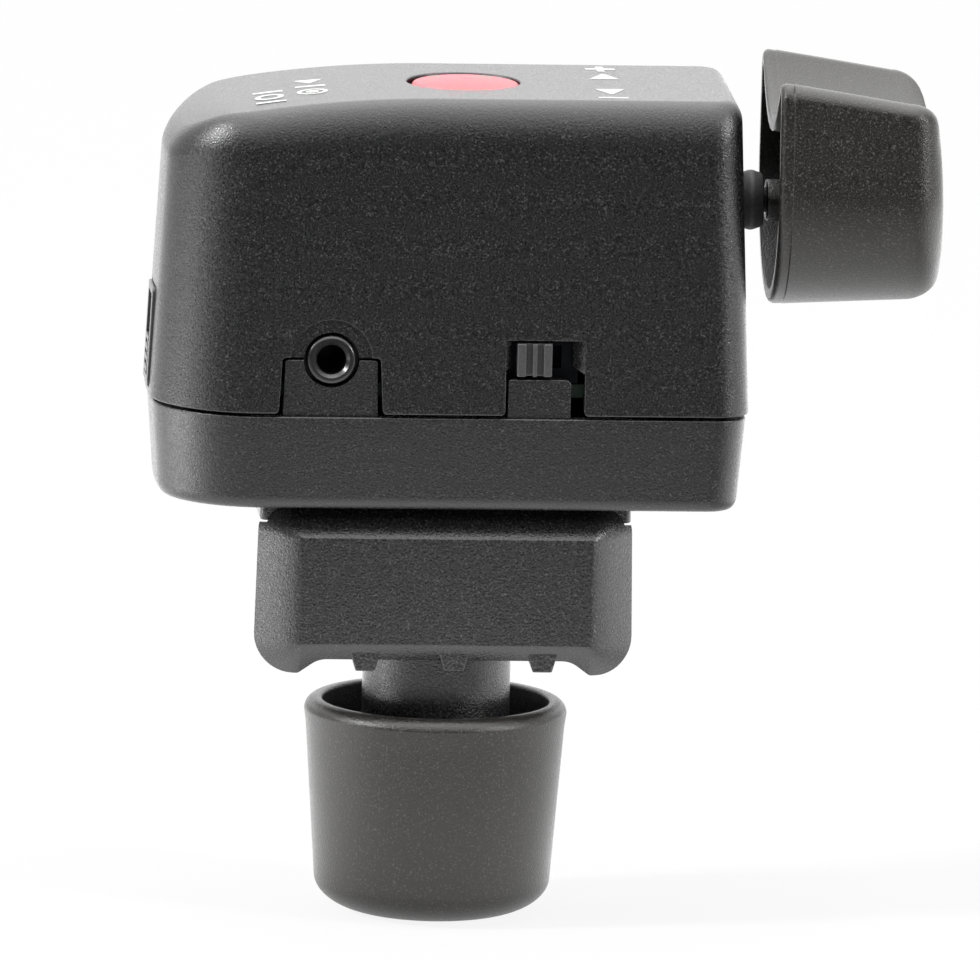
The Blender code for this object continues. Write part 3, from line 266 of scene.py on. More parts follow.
def plasticFinish(name, look):
    # A moulded plastic: a grain in relief that also mottles the colour, and sparse light flecks
    # mixed into the colour by a finer noise that also sets the roughness
    material, tree, place = startMaterial(name)
    grain = addNode(tree, "ShaderNodeTexNoise", {"Scale": 1.0 / look["grain"], "Detail": 2.0,
                                                 "Roughness": noise["detail"]}, {"Vector": place})
    mottle = addNode(tree, "ShaderNodeMapRange", {"From Min": noise["low"], "From Max": noise["high"]},
                     {"Value": grain.outputs["Fac"]})
    base = addNode(tree, "ShaderNodeMix", {"data_type": "RGBA", 6: linear(look["colour"]),
                                           7: linear(look["paler"])}, {0: mottle.outputs[0]})
    fleck = addNode(tree, "ShaderNodeTexNoise", {"Scale": 1.0 / look["fleckSize"], "Detail": 1.0},
                    {"Vector": place})
    shown = addNode(tree, "ShaderNodeMapRange", {"From Min": look["fleckFrom"],
                                                 "From Max": look["fleckFrom"] + noise["fleckEdge"],
                                                 "To Max": look["fleckShare"]},
                    {"Value": fleck.outputs["Fac"]})
    colour = addNode(tree, "ShaderNodeMix", {"data_type": "RGBA", 7: linear(look["fleck"])},
                     {0: shown.outputs[0], 6: base.outputs[2]})
    rough = addNode(tree, "ShaderNodeMapRange", {"From Min": noise["least"], "From Max": noise["most"],
                                                 "To Min": look["roughness"] - look["roughSpread"],
                                                 "To Max": look["roughness"] + look["roughSpread"]},
                    {"Value": fleck.outputs["Fac"]})
    relief = addNode(tree, "ShaderNodeBump", {"Strength": 1.0, "Distance": look["relief"]},
                     {"Height": grain.outputs["Fac"]})
    shader = addNode(tree, "ShaderNodeBsdfPrincipled", {"IOR": look["ior"]},
                     {"Base Color": colour.outputs[2], "Roughness": rough.outputs[0],
                      "Normal": relief.outputs[0]})
    endMaterial(tree, shader)
    return material


def metalFinish(name, look):
    # A plated or turned metal: the colour is the reflection's, and fine lines follow the tool
    material, tree, place = startMaterial(name)
    stretch = addNode(tree, "ShaderNodeMapping", {"Scale": look["lines"]}, {"Vector": place})
    lines = addNode(tree, "ShaderNodeTexNoise", {"Scale": 1.0 / look["grain"], "Detail": 2.0},
                    {"Vector": stretch.outputs[0]})
    spread = 0.3      # how far the lines change the roughness, as a share of it
    rough = addNode(tree, "ShaderNodeMapRange", {"To Min": look["roughness"] * (1.0 - spread),
                                                 "To Max": look["roughness"] * (1.0 + spread)},
                    {"Value": lines.outputs["Fac"]})
    relief = addNode(tree, "ShaderNodeBump", {"Strength": 0.5, "Distance": look["relief"]},
                     {"Height": lines.outputs["Fac"]})
    shader = addNode(tree, "ShaderNodeBsdfPrincipled", {"Base Color": linear(look["colour"]),
                                                        "Metallic": 1.0},
                     {"Roughness": rough.outputs[0], "Normal": relief.outputs[0]})
    endMaterial(tree, shader)
    return material


# Injection-moulded ABS from a spark-eroded tool: a coarse even grain with dull highlights
housingAbs = plasticFinish("mouldedAbsHousing", {
    "colour": "#050506", "paler": "#181819", "fleck": "#808080", "fleckSize": 0.22 * mm,
    "fleckFrom": 0.63, "fleckShare": 0.24, "grain": 0.24 * mm, "relief": 0.06 * mm,
    "roughness": 0.33, "roughSpread": 0.10, "ior": 1.53})
# Glass-filled nylon: the fibres near the skin make it drier and a little greyer
clampNylon = plasticFinish("glassFilledNylonClamp", {
    "colour": "#070707", "paler": "#1b1b1b", "fleck": "#808080", "fleckSize": 0.22 * mm,
    "fleckFrom": 0.62, "fleckShare": 0.26, "grain": 0.28 * mm, "relief": 0.07 * mm,
    "roughness": 0.31, "roughSpread": 0.10, "ior": 1.60})
# ABS from a lightly stoned tool: satin, for the parts that a hand turns and presses
satinAbs = plasticFinish("satinAbsHandled", {
    "colour": "#171514", "paler": "#272523", "fleck": "#706c6a", "fleckSize": 0.24 * mm,
    "fleckFrom": 0.62, "fleckShare": 0.30, "grain": 0.24 * mm, "relief": 0.06 * mm,
    "roughness": 0.36, "roughSpread": 0.08, "ior": 1.47})
# Acetal sliders and bezels: greyer than the case and slick
acetalBlack = plasticFinish("mouldedAcetalSwitch", {
    "colour": "#3c3b3c", "paler": "#4a494a", "fleck": "#808080", "fleckSize": 0.2 * mm,
    "fleckFrom": 0.75, "fleckShare": 0.2, "grain": 0.2 * mm, "relief": 0.012 * mm,
    "roughness": 0.40, "roughSpread": 0.05, "ior": 1.48})
# Polished nylon of the jack socket: nearly black, with a sharper glint
jackNylon = plasticFinish("polishedNylonJack", {
    "colour": "#141414", "paler": "#1c1c1c", "fleck": "#404040", "fleckSize": 0.2 * mm,
    "fleckFrom": 0.8, "fleckShare": 0.2, "grain": 0.2 * mm, "relief": 0.004 * mm,
    "roughness": 0.30, "roughSpread": 0.03, "ior": 1.53})
greyAcetal = plasticFinish("mouldedAcetalGrey", {
    "colour": "#727375", "paler": "#7b7c7e", "fleck": "#9a9a9a", "fleckSize": 0.2 * mm,
    "fleckFrom": 0.8, "fleckShare": 0.3, "grain": 0.2 * mm, "relief": 0.006 * mm,
    "roughness": 0.4, "roughSpread": 0.05, "ior": 1.48})
# Red pigmented ABS, smoother than the case: it washes out to pink where the studio grazes it
redAbs = plasticFinish("redAbsButton", {
    "colour": "#e23442", "paler": "#ea3e4b", "fleck": "#f4808a", "fleckSize": 0.25 * mm,
    "fleckFrom": 0.8, "fleckShare": 0.3, "grain": 0.3 * mm, "relief": 0.006 * mm,
    "roughness": 0.40, "roughSpread": 0.04, "ior": 1.55})
# Moulded rubber: no gloss to speak of, with a dusty bloom
blackRubber = plasticFinish("mouldedRubber", {
    "colour": "#2a2a2a", "paler": "#3c3c3c", "fleck": "#5c5c5c", "fleckSize": 0.3 * mm,
    "fleckFrom": 0.7, "fleckShare": 0.5, "grain": 0.3 * mm, "relief": 0.03 * mm,
    "roughness": 0.6, "roughSpread": 0.05, "ior": 1.52})
# Screen-printed ink: opaque off-white with a faint mottle from the grain under it
printInk = plasticFinish("screenPrintedInk", {
    "colour": "#dcdedc", "paler": "#f4f4f2", "fleck": "#a8a8a8", "fleckSize": 0.25 * mm,
    "fleckFrom": 0.62, "fleckShare": 0.5, "grain": 0.24 * mm, "relief": 0.02 * mm,
    "roughness": 0.6, "roughSpread": 0.05, "ior": 1.45})
# Glass-epoxy board under dark solder mask: the weave shows as a faint ripple
solderMask = plasticFinish("solderMaskBoard", {
    "colour": "#0a2a1a", "paler": "#0e3421", "fleck": "#1d5238", "fleckSize": 0.4 * mm,
    "fleckFrom": 0.7, "fleckShare": 0.3, "grain": 0.5 * mm, "relief": 0.02 * mm,
    "roughness": 0.35, "roughSpread": 0.05, "ior": 1.5})
# Zinc-plated steel: bluish and fairly bright, with rolling lines
zincSteel = metalFinish("zincPlatedSteel", {
    "colour": "#b9bcc0", "grain": 0.35 * mm, "lines": (1.0, 1.0, 0.15), "relief": 0.004 * mm,
    "roughness": 0.32})
# Turned brass: warm, with rings from the lathe
turnedBrass = metalFinish("turnedBrass", {
    "colour": "#d9b56a", "grain": 0.3 * mm, "lines": (0.2, 0.2, 1.0), "relief": 0.004 * mm,
    "roughness": 0.28})
# Steel of the switches' frames and the shaft, made near black as painted shade so the slots beside the
# sliders stay dark
paintedShadeSteel = metalFinish("paintedShadeDarkSteel", {
    "colour": "#1c1d20", "grain": 0.35 * mm, "lines": (1.0, 1.0, 0.15), "relief": 0.004 * mm,
    "roughness": 0.5})
print("materials made")


# Housing: both shells are worked out from one plan outline

upperLow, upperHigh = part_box("upper_shell")
halfWidth = upperHigh.x
halfDepth = upperHigh.y
seam = upperLow.z
roofTop = upperHigh.z + 0.1 * mm     # a little over the solid's roof
housing = {
    "leftCorner": 11.5 * mm, "rightCorner": 4.3 * mm,
    "roofDown": 5.4 * mm, "roofIn": 2.8 * mm,      # the roof's edge along the front and back
    "endDown": 2.6 * mm, "endIn": 2.0 * mm,        # and at the two ends
    "baseRound": 1.5 * mm, "baseIn": 1.0 * mm, "lip": 0.22 * mm,
    "wall": 2.0 * mm, "innerRound": 1.2 * mm, "floorRound": 1.0 * mm, "rimGap": 0.4 * mm,
    "endBow": 1.5 * mm, "seamStep": 0.3 * mm,
    "upperDraft": radians(2.4), "lowerDraft": radians(4.6),
    "crownStart": 2.0 * mm, "crownRadius": 165.0 * mm,
    "shoulderStart": 28.6 * mm, "shoulderRadius": 9.0 * mm,
    "holeX": 1.7 * mm, "holeRadius": 7.15 * mm, "holeEdge": 0.25 * mm,
    "bushHole": 3.1 * mm, "seamSoft": 0.6 * mm,    # the shell's lower corners beside its openings
    "wallSteps": 17, "filletSteps": 16, "edgeSteps": 4, "roofSteps": 39, "ceilingSteps": 11,
    "innerSteps": 6, "baseSteps": 10, "sideSteps": 8, "floorSteps": 12, "bushTurn": 64,
}


def planOutline(leftSteps=28, rightSteps=16, sideSteps=110, endSteps=24):
    # The housing from above: four arcs joined by straight sides. Gives each point and the
    # direction straight out of the side there.
    left, right = housing["leftCorner"], housing["rightCorner"]
    spans = [(halfWidth - right, right - halfDepth, right, -90.0, rightSteps, 2 * endSteps),
             (halfWidth - right, halfDepth - right, right, 0.0, rightSteps, sideSteps),
             (left - halfWidth, halfDepth - left, left, 90.0, leftSteps, endSteps),
             (left - halfWidth, left - halfDepth, left, 180.0, leftSteps, sideSteps)]
    arcs, outs = [], []
    for x, y, radius, start, steps, _ in spans:
        angle = np.radians(np.linspace(start, start + 90.0, steps + 1))
        out = np.stack([np.cos(angle), np.sin(angle)], -1)
        arcs.append(np.array([x, y]) + radius * out)
        outs.append(out)
    points, normals = [], []
    for at, span in enumerate(spans):
        after = (at + 1) % len(spans)
        share = np.linspace(0.0, 1.0, span[5] + 2)[1:-1, None]
        points += [arcs[at], arcs[at][-1] * (1.0 - share) + arcs[after][0] * share]
        normals += [outs[at], np.broadcast_to(outs[at][-1], (span[5], 2))]
    return np.concatenate(points), np.concatenate(normals)


def settled(points):
    # Bends the plain box into the housing: the roof drops towards the left along a long
    # crown and a tight shoulder, the left end bows out and the walls lean in with the draft
    x, y, z = points[..., 0], points[..., 1], points[..., 2]
    lean = np.where(z >= seam, (z - seam) * tan(housing["upperDraft"]),
                    (seam - z) * tan(housing["lowerDraft"]))
    up = np.clip((z - seam) / (roofTop - seam), 0.0, None)
    bow = np.where(x < 0.0, housing["endBow"] * (y / halfDepth) ** 2 * -x / halfWidth, 0.0)
    return np.stack([(x + bow) * (1.0 - lean / halfWidth), y * (1.0 - lean / halfDepth),
                     z - roofDrop(x) * up], -1)


def roofDrop(x):
    crown = np.maximum(0.0, -housing["crownStart"] - x) ** 2 / (2.0 * housing["crownRadius"])
    shoulder = np.maximum(0.0, -housing["shoulderStart"] - x) ** 2 / (2.0 * housing["shoulderRadius"])
    return crown + shoulder


def ringsOf(levels):
    # One ring of the plan outline for each (inset, height)
    points, normals = planOutline()
    rings = [np.column_stack([points - normals * inset, np.full(len(points), height)])
             for inset, height in levels]
    return np.stack(rings)


def between(first, last, shares):
    # Rings that lie between two rings, at the given shares of the way
    shares = np.asarray(shares)[:, None, None]
    return first[None] * (1.0 - shares) + last[None] * shares


def quarterLevels(inset, height, across, up, steps):
    # (inset, height) along a quarter ellipse from an upright wall to a level surface
    angle = np.radians(np.linspace(0.0, 90.0, steps + 1))
    return np.stack([inset + across * (1.0 - np.cos(angle)), height + up * np.sin(angle)], -1)


def frontCutter(name, corners, deep, flare=0.14 * mm, sunk=0.0):
    # A cutter that stands on the leaning front face. Its outline flares out to the face along
    # a quarter circle, so the edge that it leaves is round.
    quarter = np.linspace(0.0, pi / 2.0, leastSteps + 1)
    growth = np.concatenate([[flare], flare * (1.0 - np.sin(quarter)), [0.0]])
    depth = np.concatenate([[-overrun], flare * (1.0 - np.cos(quarter)), [deep]])
    rings = np.stack([rounded(grown(corners, each), moreSteps) for each in growth])
    lean = (rings[..., 1] - seam) * tan(housing["upperDraft"]) - halfDepth + sunk
    grid = np.stack([rings[..., 0], lean + depth[:, None], rings[..., 1]], -1)
    return surface(name, grid, caps=True)


jackX, _, jackZ = middleOf("cable_jack")
jackPort = {
    "x": jackX, "z": jackZ, "bodyTall": 5.8 * mm, "bodyRound": 0.3 * mm, "collarRound": 0.55 * mm,
    "collar": 3.0 * mm, "bore": 1.75 * mm, "boreDeep": 12.5 * mm, "lead": 0.45 * mm, "gap": 0.34 * mm,
    "dish": 4.9 * mm, "dishDeep": 0.4 * mm,
    "tabTop": 11.2 * mm, "tabFoot": 11.9 * mm, "tabGap": 0.3 * mm, "tabSunk": 0.1 * mm,
    "tabRound": 0.4 * mm, "tabCutRound": 0.5 * mm, "tabRim": 0.12 * mm, "bodyRim": 0.15 * mm,
}
selector = {
    "left": 6.3 * mm, "right": 15.8 * mm, "top": seam + 9.1 * mm,
    "tabRight": 14.2 * mm, "tabTop": seam + 4.35 * mm, "tabGap": 0.3 * mm, "tabRound": 0.7 * mm,
    "leftRamp": 0.6 * mm, "rightRamp": 1.4 * mm, "rampTall": 3.3 * mm, "rampSunk": 0.15 * mm,
    "rampDeep": 1.8 * mm, "rampInWall": 0.3 * mm, "rampSlope": 0.5,
    "ridges": (1.08 * mm, 0.56 * mm, 1.02 * mm), "ridgeGap": 0.77 * mm, "ridgeTall": 0.7 * mm,
    "ridgeRound": 0.18 * mm, "slotRound": 0.3 * mm, "stem": 2.2 * mm, "stemFrom": 1.4 * mm,
    "rim": 0.15 * mm, "backGap": 0.3 * mm,
}
rockerAxis = middleOf("shaft_bush")[2]
power = {
    "plateProud": 0.35 * mm, "plateDeep": 0.65 * mm, "windowWide": 5.0 * mm, "windowTall": 10.0 * mm,
    "wide": 7.4 * mm, "tall": 11.8 * mm, "sliderProud": 0.3 * mm, "slider": 4.4 * mm,
    "fit": 0.3 * mm, "travel": 4.8 * mm, "stemWide": 1.8 * mm, "stemTall": 2.0 * mm,
    "stemDeep": 3.7 * mm, "corner": 0.5 * mm, "ridges": 4, "ridgeTall": 0.22 * mm,
    "ridgeFoot": 0.45 * mm, "ridgeRound": 0.1 * mm, "rim": 0.15 * mm, "sliderRim": 0.12 * mm,
    "stemFrom": 0.1 * mm,
}


def onLeftWall(points):
    # Turns points from the power switch's own frame, which lies on the leaning left wall
    tilt = Matrix.Rotation(housing["upperDraft"], 3, "Y")
    x, _, z = middleOf("power_plate")
    origin = np.array([x + power["plateProud"] - power["plateDeep"] / 2.0, 0.0, z])
    return points @ np.array(tilt).T + origin


def jackTab(foot):
    # Outline of the tab under the jack: a little narrower at its top
    wide, narrow = jackPort["tabFoot"] / 2.0, jackPort["tabTop"] / 2.0
    x, top, soft = jackPort["x"], jackPort["z"], jackPort["tabRound"]
    return [(x - wide, foot, 0.0), (x + wide, foot, 0.0), (x + narrow, top, soft), (x - narrow, top, soft)]


def openAtSeam(foot, top, high, cornerRound):
    # Outline of an opening up from the seam, which widens round there. Foot and top each give
    # its left and right side.
    soft = housing["seamSoft"]
    low = seam - overrun
    return [(foot[0] - soft, low, 0.0), (foot[1] + soft, low, 0.0), (foot[1] + soft, seam, 0.0),
            (foot[1], seam, soft), (top[1], high, cornerRound), (top[0], high, cornerRound),
            (foot[0], seam, soft), (foot[0] - soft, seam, 0.0)]


def slotRamp(side, run):
    # A ramp that eases a finger into the slot: it goes back by as much as it comes in, and its
    # lower end slopes down towards the side
    start = -halfDepth + selector["rampSunk"]
    back = -halfDepth + selector["rampDeep"]
    inWall = -np.sign(run) * selector["rampInWall"]
    corners = [(side + inWall, start, 0.0), (side, start, tinyRound),
               (side + run, start + abs(run), tinyRound), (side + run, back, 0.0),
               (side + inWall, back, 0.0)]
    low, high = selector["top"] - selector["rampTall"], selector["top"] + selector["rampInWall"]
    ramp = softPrism("slotRamp", corners, low, high, 0.0, "z")

    def slope(points):
        x, y, z = points.T
        slant = (x - side - run) * selector["rampSlope"] * np.sign(-run)
        down = np.where(z < low + weld, slant, 0.0)
        return np.stack([x, y, z - down], -1)

    return moved(moved(ramp, slope), leaning)


def makeUpperShell():
    # Rings of the plan outline: up the outside, in over the roof's edge as a quarter ellipse
    # that is taller along the front and back, down the button's hole, and back inside the wall
    deep = housing["wall"] + overrun
    lip = housing["lip"]
    points, normals = planOutline()
    alongSide = normals[:, 1] ** 2
    across = housing["endIn"] + (housing["roofIn"] - housing["endIn"]) * alongSide
    down = housing["endDown"] + (housing["roofDown"] - housing["endDown"]) * alongSide
    wallSteps, edgeSteps = housing["wallSteps"], housing["edgeSteps"]
    foot = ringsOf(quarterLevels(0.0, seam + lip, lip, -lip, edgeSteps)[::-1].tolist())
    share = np.linspace(0.0, 1.0, wallSteps + 1)[1:, None]
    wallTop = roofTop - down[None, :]
    wallZ = seam + lip + (wallTop - seam - lip) * share
    wall = np.concatenate([np.broadcast_to(points, (wallSteps, *points.shape)), wallZ[..., None]], -1)
    angle = np.linspace(0.0, pi / 2.0, housing["filletSteps"] + 1)[1:, None]
    inward = across * (1.0 - np.cos(angle))
    fillet = points - normals * inward[..., None]
    fillet = np.concatenate([fillet, (wallTop + down * np.sin(angle))[..., None]], -1)
    rings = np.concatenate([foot, wall, fillet])
    edge = housing["holeEdge"]
    toward = np.arctan2(rings[-1, :, 1], rings[-1, :, 0] - housing["holeX"])
    across = np.stack([np.cos(toward), np.sin(toward)], -1)

    def holeRing(radius, height):
        return np.column_stack([np.array([housing["holeX"], 0.0]) + across * radius,
                                np.full(len(across), height)])

    hole = [holeRing(housing["holeRadius"] + edge * (1.0 - sin(a)), roofTop - edge * (1.0 - cos(a)))
            for a in np.linspace(0.0, pi / 2.0, edgeSteps + 1)]
    under = roofTop - housing["wall"]
    hole += [holeRing(housing["holeRadius"], under)]
    inner = quarterLevels(housing["wall"], under - housing["innerRound"], housing["innerRound"],
                          housing["innerRound"], edgeSteps)[::-1].tolist()
    down = np.linspace(under - housing["innerRound"], seam, housing["innerSteps"])
    inner += [(housing["wall"], z) for z in down[1:]]
    innerRings = ringsOf(inner)
    roof = between(rings[-1], hole[0], np.linspace(0.0, 1.0, housing["roofSteps"] + 1)[1:-1])
    ceiling = between(hole[-1], innerRings[0], np.linspace(0.0, 1.0, housing["ceilingSteps"] + 1)[1:-1])
    grid = np.concatenate([rings, roof, np.stack(hole), ceiling, innerRings])
    shell = surface("housingTop", settled(grid), loopRows=True)
    gap = jackPort["tabGap"]
    wide = jackPort["tabFoot"] / 2.0 + gap
    narrow = jackPort["tabTop"] / 2.0 + gap
    x, top = jackPort["x"], jackPort["z"] + gap
    tabCut = openAtSeam((x - wide, x + wide), (x - narrow, x + narrow), top, jackPort["tabCutRound"])
    left, right = selector["left"], selector["right"]
    slot = openAtSeam((left, right), (left, right), selector["top"], selector["slotRound"])
    middle = (jackPort["x"], jackPort["z"])
    carved(shell, [
        frontCutter("dish", disc(middle, jackPort["dish"]), jackPort["dishDeep"]),
        frontCutter("tabCut", tabCut, deep),
        frontCutter("jackHole", disc(middle, jackPort["collar"] + jackPort["gap"]), deep),
        frontCutter("slot", slot, deep)])
    bushHole = rod("bushHole", housing["bushHole"], halfWidth - 2.0 * deep, halfWidth + overrun,
                   (0.0, 0.0, rockerAxis), "x", housing["bushTurn"])
    fit = power["fit"]
    floor = power["plateDeep"] - power["plateProud"] + fit
    pocket = softPrism("pocket", panel(power["wide"] + 2.0 * fit, power["tall"] + 2.0 * fit,
                                       power["corner"]), -overrun, floor, 0.0, "x")
    stemLow = (power["slider"] - power["stemTall"] - power["windowTall"]) / 2.0
    stemHigh = stemLow + power["stemTall"] + power["travel"] + 2.0 * fit
    stemSlot = softPrism("stemSlot", box((-power["stemWide"] / 2.0 - fit, stemLow),
                                         (power["stemWide"] / 2.0 + fit, stemHigh), smallRound),
                         -overrun, housing["wall"] + overrun, 0.0, "x")
    carved(shell, [bushHole, moved(pocket, onLeftWall), moved(stemSlot, onLeftWall)])
    merged(shell, [slotRamp(right, -selector["rightRamp"]), slotRamp(left, selector["leftRamp"])])
    return finished(shell, housingAbs, "root", ["upper_shell"])


caseScrew = {
    "numbers": (1, 2, 3, 4), "headTall": 1.4 * mm, "headRound": 0.7 * mm, "shank": 1.25 * mm,
    "tipRound": 0.6 * mm, "crossDeep": 0.8 * mm, "crossLong": 0.6, "crossThin": 0.13,
    "gap": 0.3 * mm, "chamfer": 0.2 * mm, "hole": 1.55 * mm, "postWall": 0.8 * mm,
}


def leaning(points):
    # Lays an upright plate against the front: back with the upper draft over the seam, and
    # back with the lower draft under it
    x, y, z = points.T
    lean = np.where(z > seam, (z - seam) * tan(housing["upperDraft"]),
                    (seam - z) * tan(housing["lowerDraft"]))
    return np.stack([x, y + lean, z], -1)


def makeLowerShell():
    # A tray of plan rings from the middle of its base, out, up, in and back to the middle of
    # its floor, with two tabs, four posts and their screw holes
    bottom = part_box("lower_shell")[0].z
    top = seam - housing["rimGap"]
    step, lip, inset = housing["seamStep"], housing["lip"], housing["wall"]
    base = quarterLevels(step, bottom + housing["baseRound"], housing["baseIn"],
                         -housing["baseRound"], housing["baseSteps"])[::-1].tolist()
    up = np.linspace(bottom + housing["baseRound"], top - lip, housing["sideSteps"])
    side = [(step, z) for z in up[1:]]
    rim = quarterLevels(step, top - lip, lip, lip, housing["edgeSteps"])[1:].tolist()
    floor = bottom + housing["wall"]
    soft = housing["floorRound"]
    inner = [(inset, top), (inset, floor + soft)]
    inner += quarterLevels(inset, floor + soft, soft, -soft, housing["edgeSteps"])[1:].tolist()
    rings = ringsOf(base + side + rim + inner)
    pole = np.zeros_like(rings[0])
    shares = np.linspace(1.0, 0.0, housing["floorSteps"])[:-1]
    under = between(rings[0], pole + np.array([0.0, 0.0, bottom]), shares)
    over = between(rings[-1], pole + np.array([0.0, 0.0, floor]), shares[::-1])
    shell = surface("housingBase", settled(np.concatenate([under, rings, over])))
    front = -halfDepth + step + jackPort["tabSunk"]
    back = -halfDepth + housing["wall"]
    edge = jackPort["tabRim"]
    jackPlate = softPrism("jackPlate", jackTab(floor), front, back, edge)
    left, right = selector["left"] + selector["tabGap"], selector["tabRight"]
    high = selector["tabTop"]
    selectorTab = [(left, floor, 0.0), (right, floor, 0.0), (right, high, selector["tabRound"]),
                   (left, high, edgeRound)]
    selectorPlate = softPrism("selectorPlate", selectorTab, front, back, edge)
    posts, sinks = [], []
    gap, hole = caseScrew["gap"], caseScrew["hole"]
    for number in caseScrew["numbers"]:
        headLow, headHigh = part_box("case_screw_" + str(number))
        x, y, _ = middleOf("case_screw_" + str(number))
        head = (headHigh.x - headLow.x) / 2.0
        wide = head + gap + caseScrew["chamfer"]
        posts.append(rod("post", head + caseScrew["postWall"], floor - overrun, seam, (x, y, 0.0),
                         steps=smallTurn))
        recess = headLow.z + caseScrew["headTall"] + gap
        sinks.append(turned("sink", rounded([
            (0.0, bottom - overrun, 0.0), (wide, bottom - overrun, 0.0), (wide, bottom, 0.0),
            (head + gap, bottom + caseScrew["chamfer"], tinyRound), (head + gap, recess, 0.0),
            (hole, recess, 0.0), (hole, seam + overrun, 0.0), (0.0, seam + overrun, 0.0)], 3),
            (x, y, 0.0), steps=smallTurn))
    merged(shell, [moved(jackPlate, leaning), moved(selectorPlate, leaning)] + posts)
    notch = frontCutter("notch", disc((jackPort["x"], jackPort["z"]), jackPort["collar"] + jackPort["gap"]),
                        2.0 * housing["wall"], sunk=step + jackPort["tabSunk"])
    carved(shell, [notch] + sinks)
    return finished(shell, housingAbs, "root", ["lower_shell"])


makeUpperShell()
makeLowerShell()
print("housing made")


# Record button

button = {
    "radius": 6.6 * mm, "crown": 0.45 * mm, "edge": 0.55 * mm, "flange": 7.7 * mm,
    "flangeTall": 1.0 * mm, "flangeGap": 0.3 * mm, "stem": 2.2 * mm,
    "dimple": 0.6 * mm, "dimpleDeep": 0.05 * mm, "domeSteps": 40, "edgeSteps": 8,
}


def makeButton():
    # A cap turned from one profile: a parabola for the dome with a small dimple in its middle,
    # a round edge, and the flange and stem under the roof
    low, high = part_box("rec_button")
    top = high.z
    radius, edge = button["radius"], button["edge"]
    flangeTop = roofTop - housing["wall"] - button["flangeGap"]
    flangeLow = flangeTop - button["flangeTall"]
    flat = radius - edge
    out = np.linspace(0.0, flat, button["domeSteps"])
    dimple = button["dimpleDeep"] * np.exp(-(out / button["dimple"]) ** 4)
    dome = np.stack([out, top - button["crown"] * (out / flat) ** 2 - dimple], -1)
    slope = np.arctan(2.0 * button["crown"] / flat)
    angle = np.linspace(pi / 2.0 - slope, 0.0, button["edgeSteps"] + 1)[1:]
    start = dome[-1] - edge * np.array([sin(slope), cos(slope)])
    rim = start + edge * np.stack([np.cos(angle), np.sin(angle)], -1)
    side = [(rim[-1][0], flangeTop), (button["flange"], flangeTop), (button["flange"], flangeLow),
            (button["stem"], flangeLow), (button["stem"], low.z), (0.0, low.z)]
    cap = turned("recordButton", np.concatenate([dome, rim, np.array(side)]),
                 (middleOf("rec_button")[0], 0.0, 0.0), steps=largeTurn)
    return finished(cap, redAbs, "record_button", ["rec_button"])


makeButton()


# Jack socket and the selector slider in the front wall

def makeJack():
    # A square body behind the wall with a round collar in it, bored with a chamfered mouth
    low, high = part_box("cable_jack")
    front, half = low.y, jackPort["bodyTall"] / 2.0
    wallBack = front - jackPort["dishDeep"] + housing["wall"] + jackPort["bodyRound"]
    sides = box((low.x, jackPort["z"] - half), (high.x, jackPort["z"] + half), jackPort["bodyRound"])
    body = softPrism("jackSocket", sides, wallBack, high.y, jackPort["bodyRim"])
    inBody = wallBack + overrun
    collar = rounded([(0.0, front, 0.0), (jackPort["collar"], front, jackPort["collarRound"]),
                      (jackPort["collar"], inBody, 0.0), (0.0, inBody, 0.0)], moreSteps)
    middle = (jackPort["x"], 0.0, jackPort["z"])
    merged(body, [turned("collar", collar, middle, "y", largeTurn)])
    bore, lead = jackPort["bore"], jackPort["lead"]
    end = front + jackPort["boreDeep"]
    hole = rounded([(0.0, front - overrun, 0.0), (bore + lead + overrun, front - overrun, 0.0),
                    (bore, front + lead, edgeRound), (bore, end, 0.0), (0.0, end, 0.0)])
    carved(body, [turned("bore", hole, middle, "y", largeTurn)])
    return finished(body, jackNylon, "root", ["cable_jack"])


def combOutline(widths, gap, tall, base, soft):
    # Ridges on a common base: up, over and down each ridge in turn, then back along the base
    corners = []
    at = 0.0
    for width in widths:
        corners += [(at, base, soft * 0.5), (at, base + tall, soft), (at + width, base + tall, soft),
                    (at + width, base, soft * 0.5)]
        at += width + gap
    corners[0] = (0.0, 0.0, 0.0)
    corners[-1] = (at - gap, 0.0, 0.0)
    return np.array(corners)


def makeSelectorKnob():
    low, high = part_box("selector_slider")
    tall = selector["ridgeTall"]
    comb = combOutline(selector["ridges"], selector["ridgeGap"], tall,
                       housing["wall"] - tall + selector["backGap"], selector["ridgeRound"])
    comb[:, 0] += low.x
    comb[:, 1] = low.y + comb[:, 1].max() - comb[:, 1]
    slider = softPrism("selectorKnob", comb, low.z, high.z, selector["rim"], "z")
    half = selector["stem"] / 2.0
    x, _, z = middleOf("selector_slider")
    merged(slider, [softPrism("stem", box((x - half, z - half), (x + half, z + half), smallRound),
                              low.y + selector["stemFrom"], high.y, tinyRound)])
    return finished(slider, acetalBlack, "selector", ["selector_slider"])


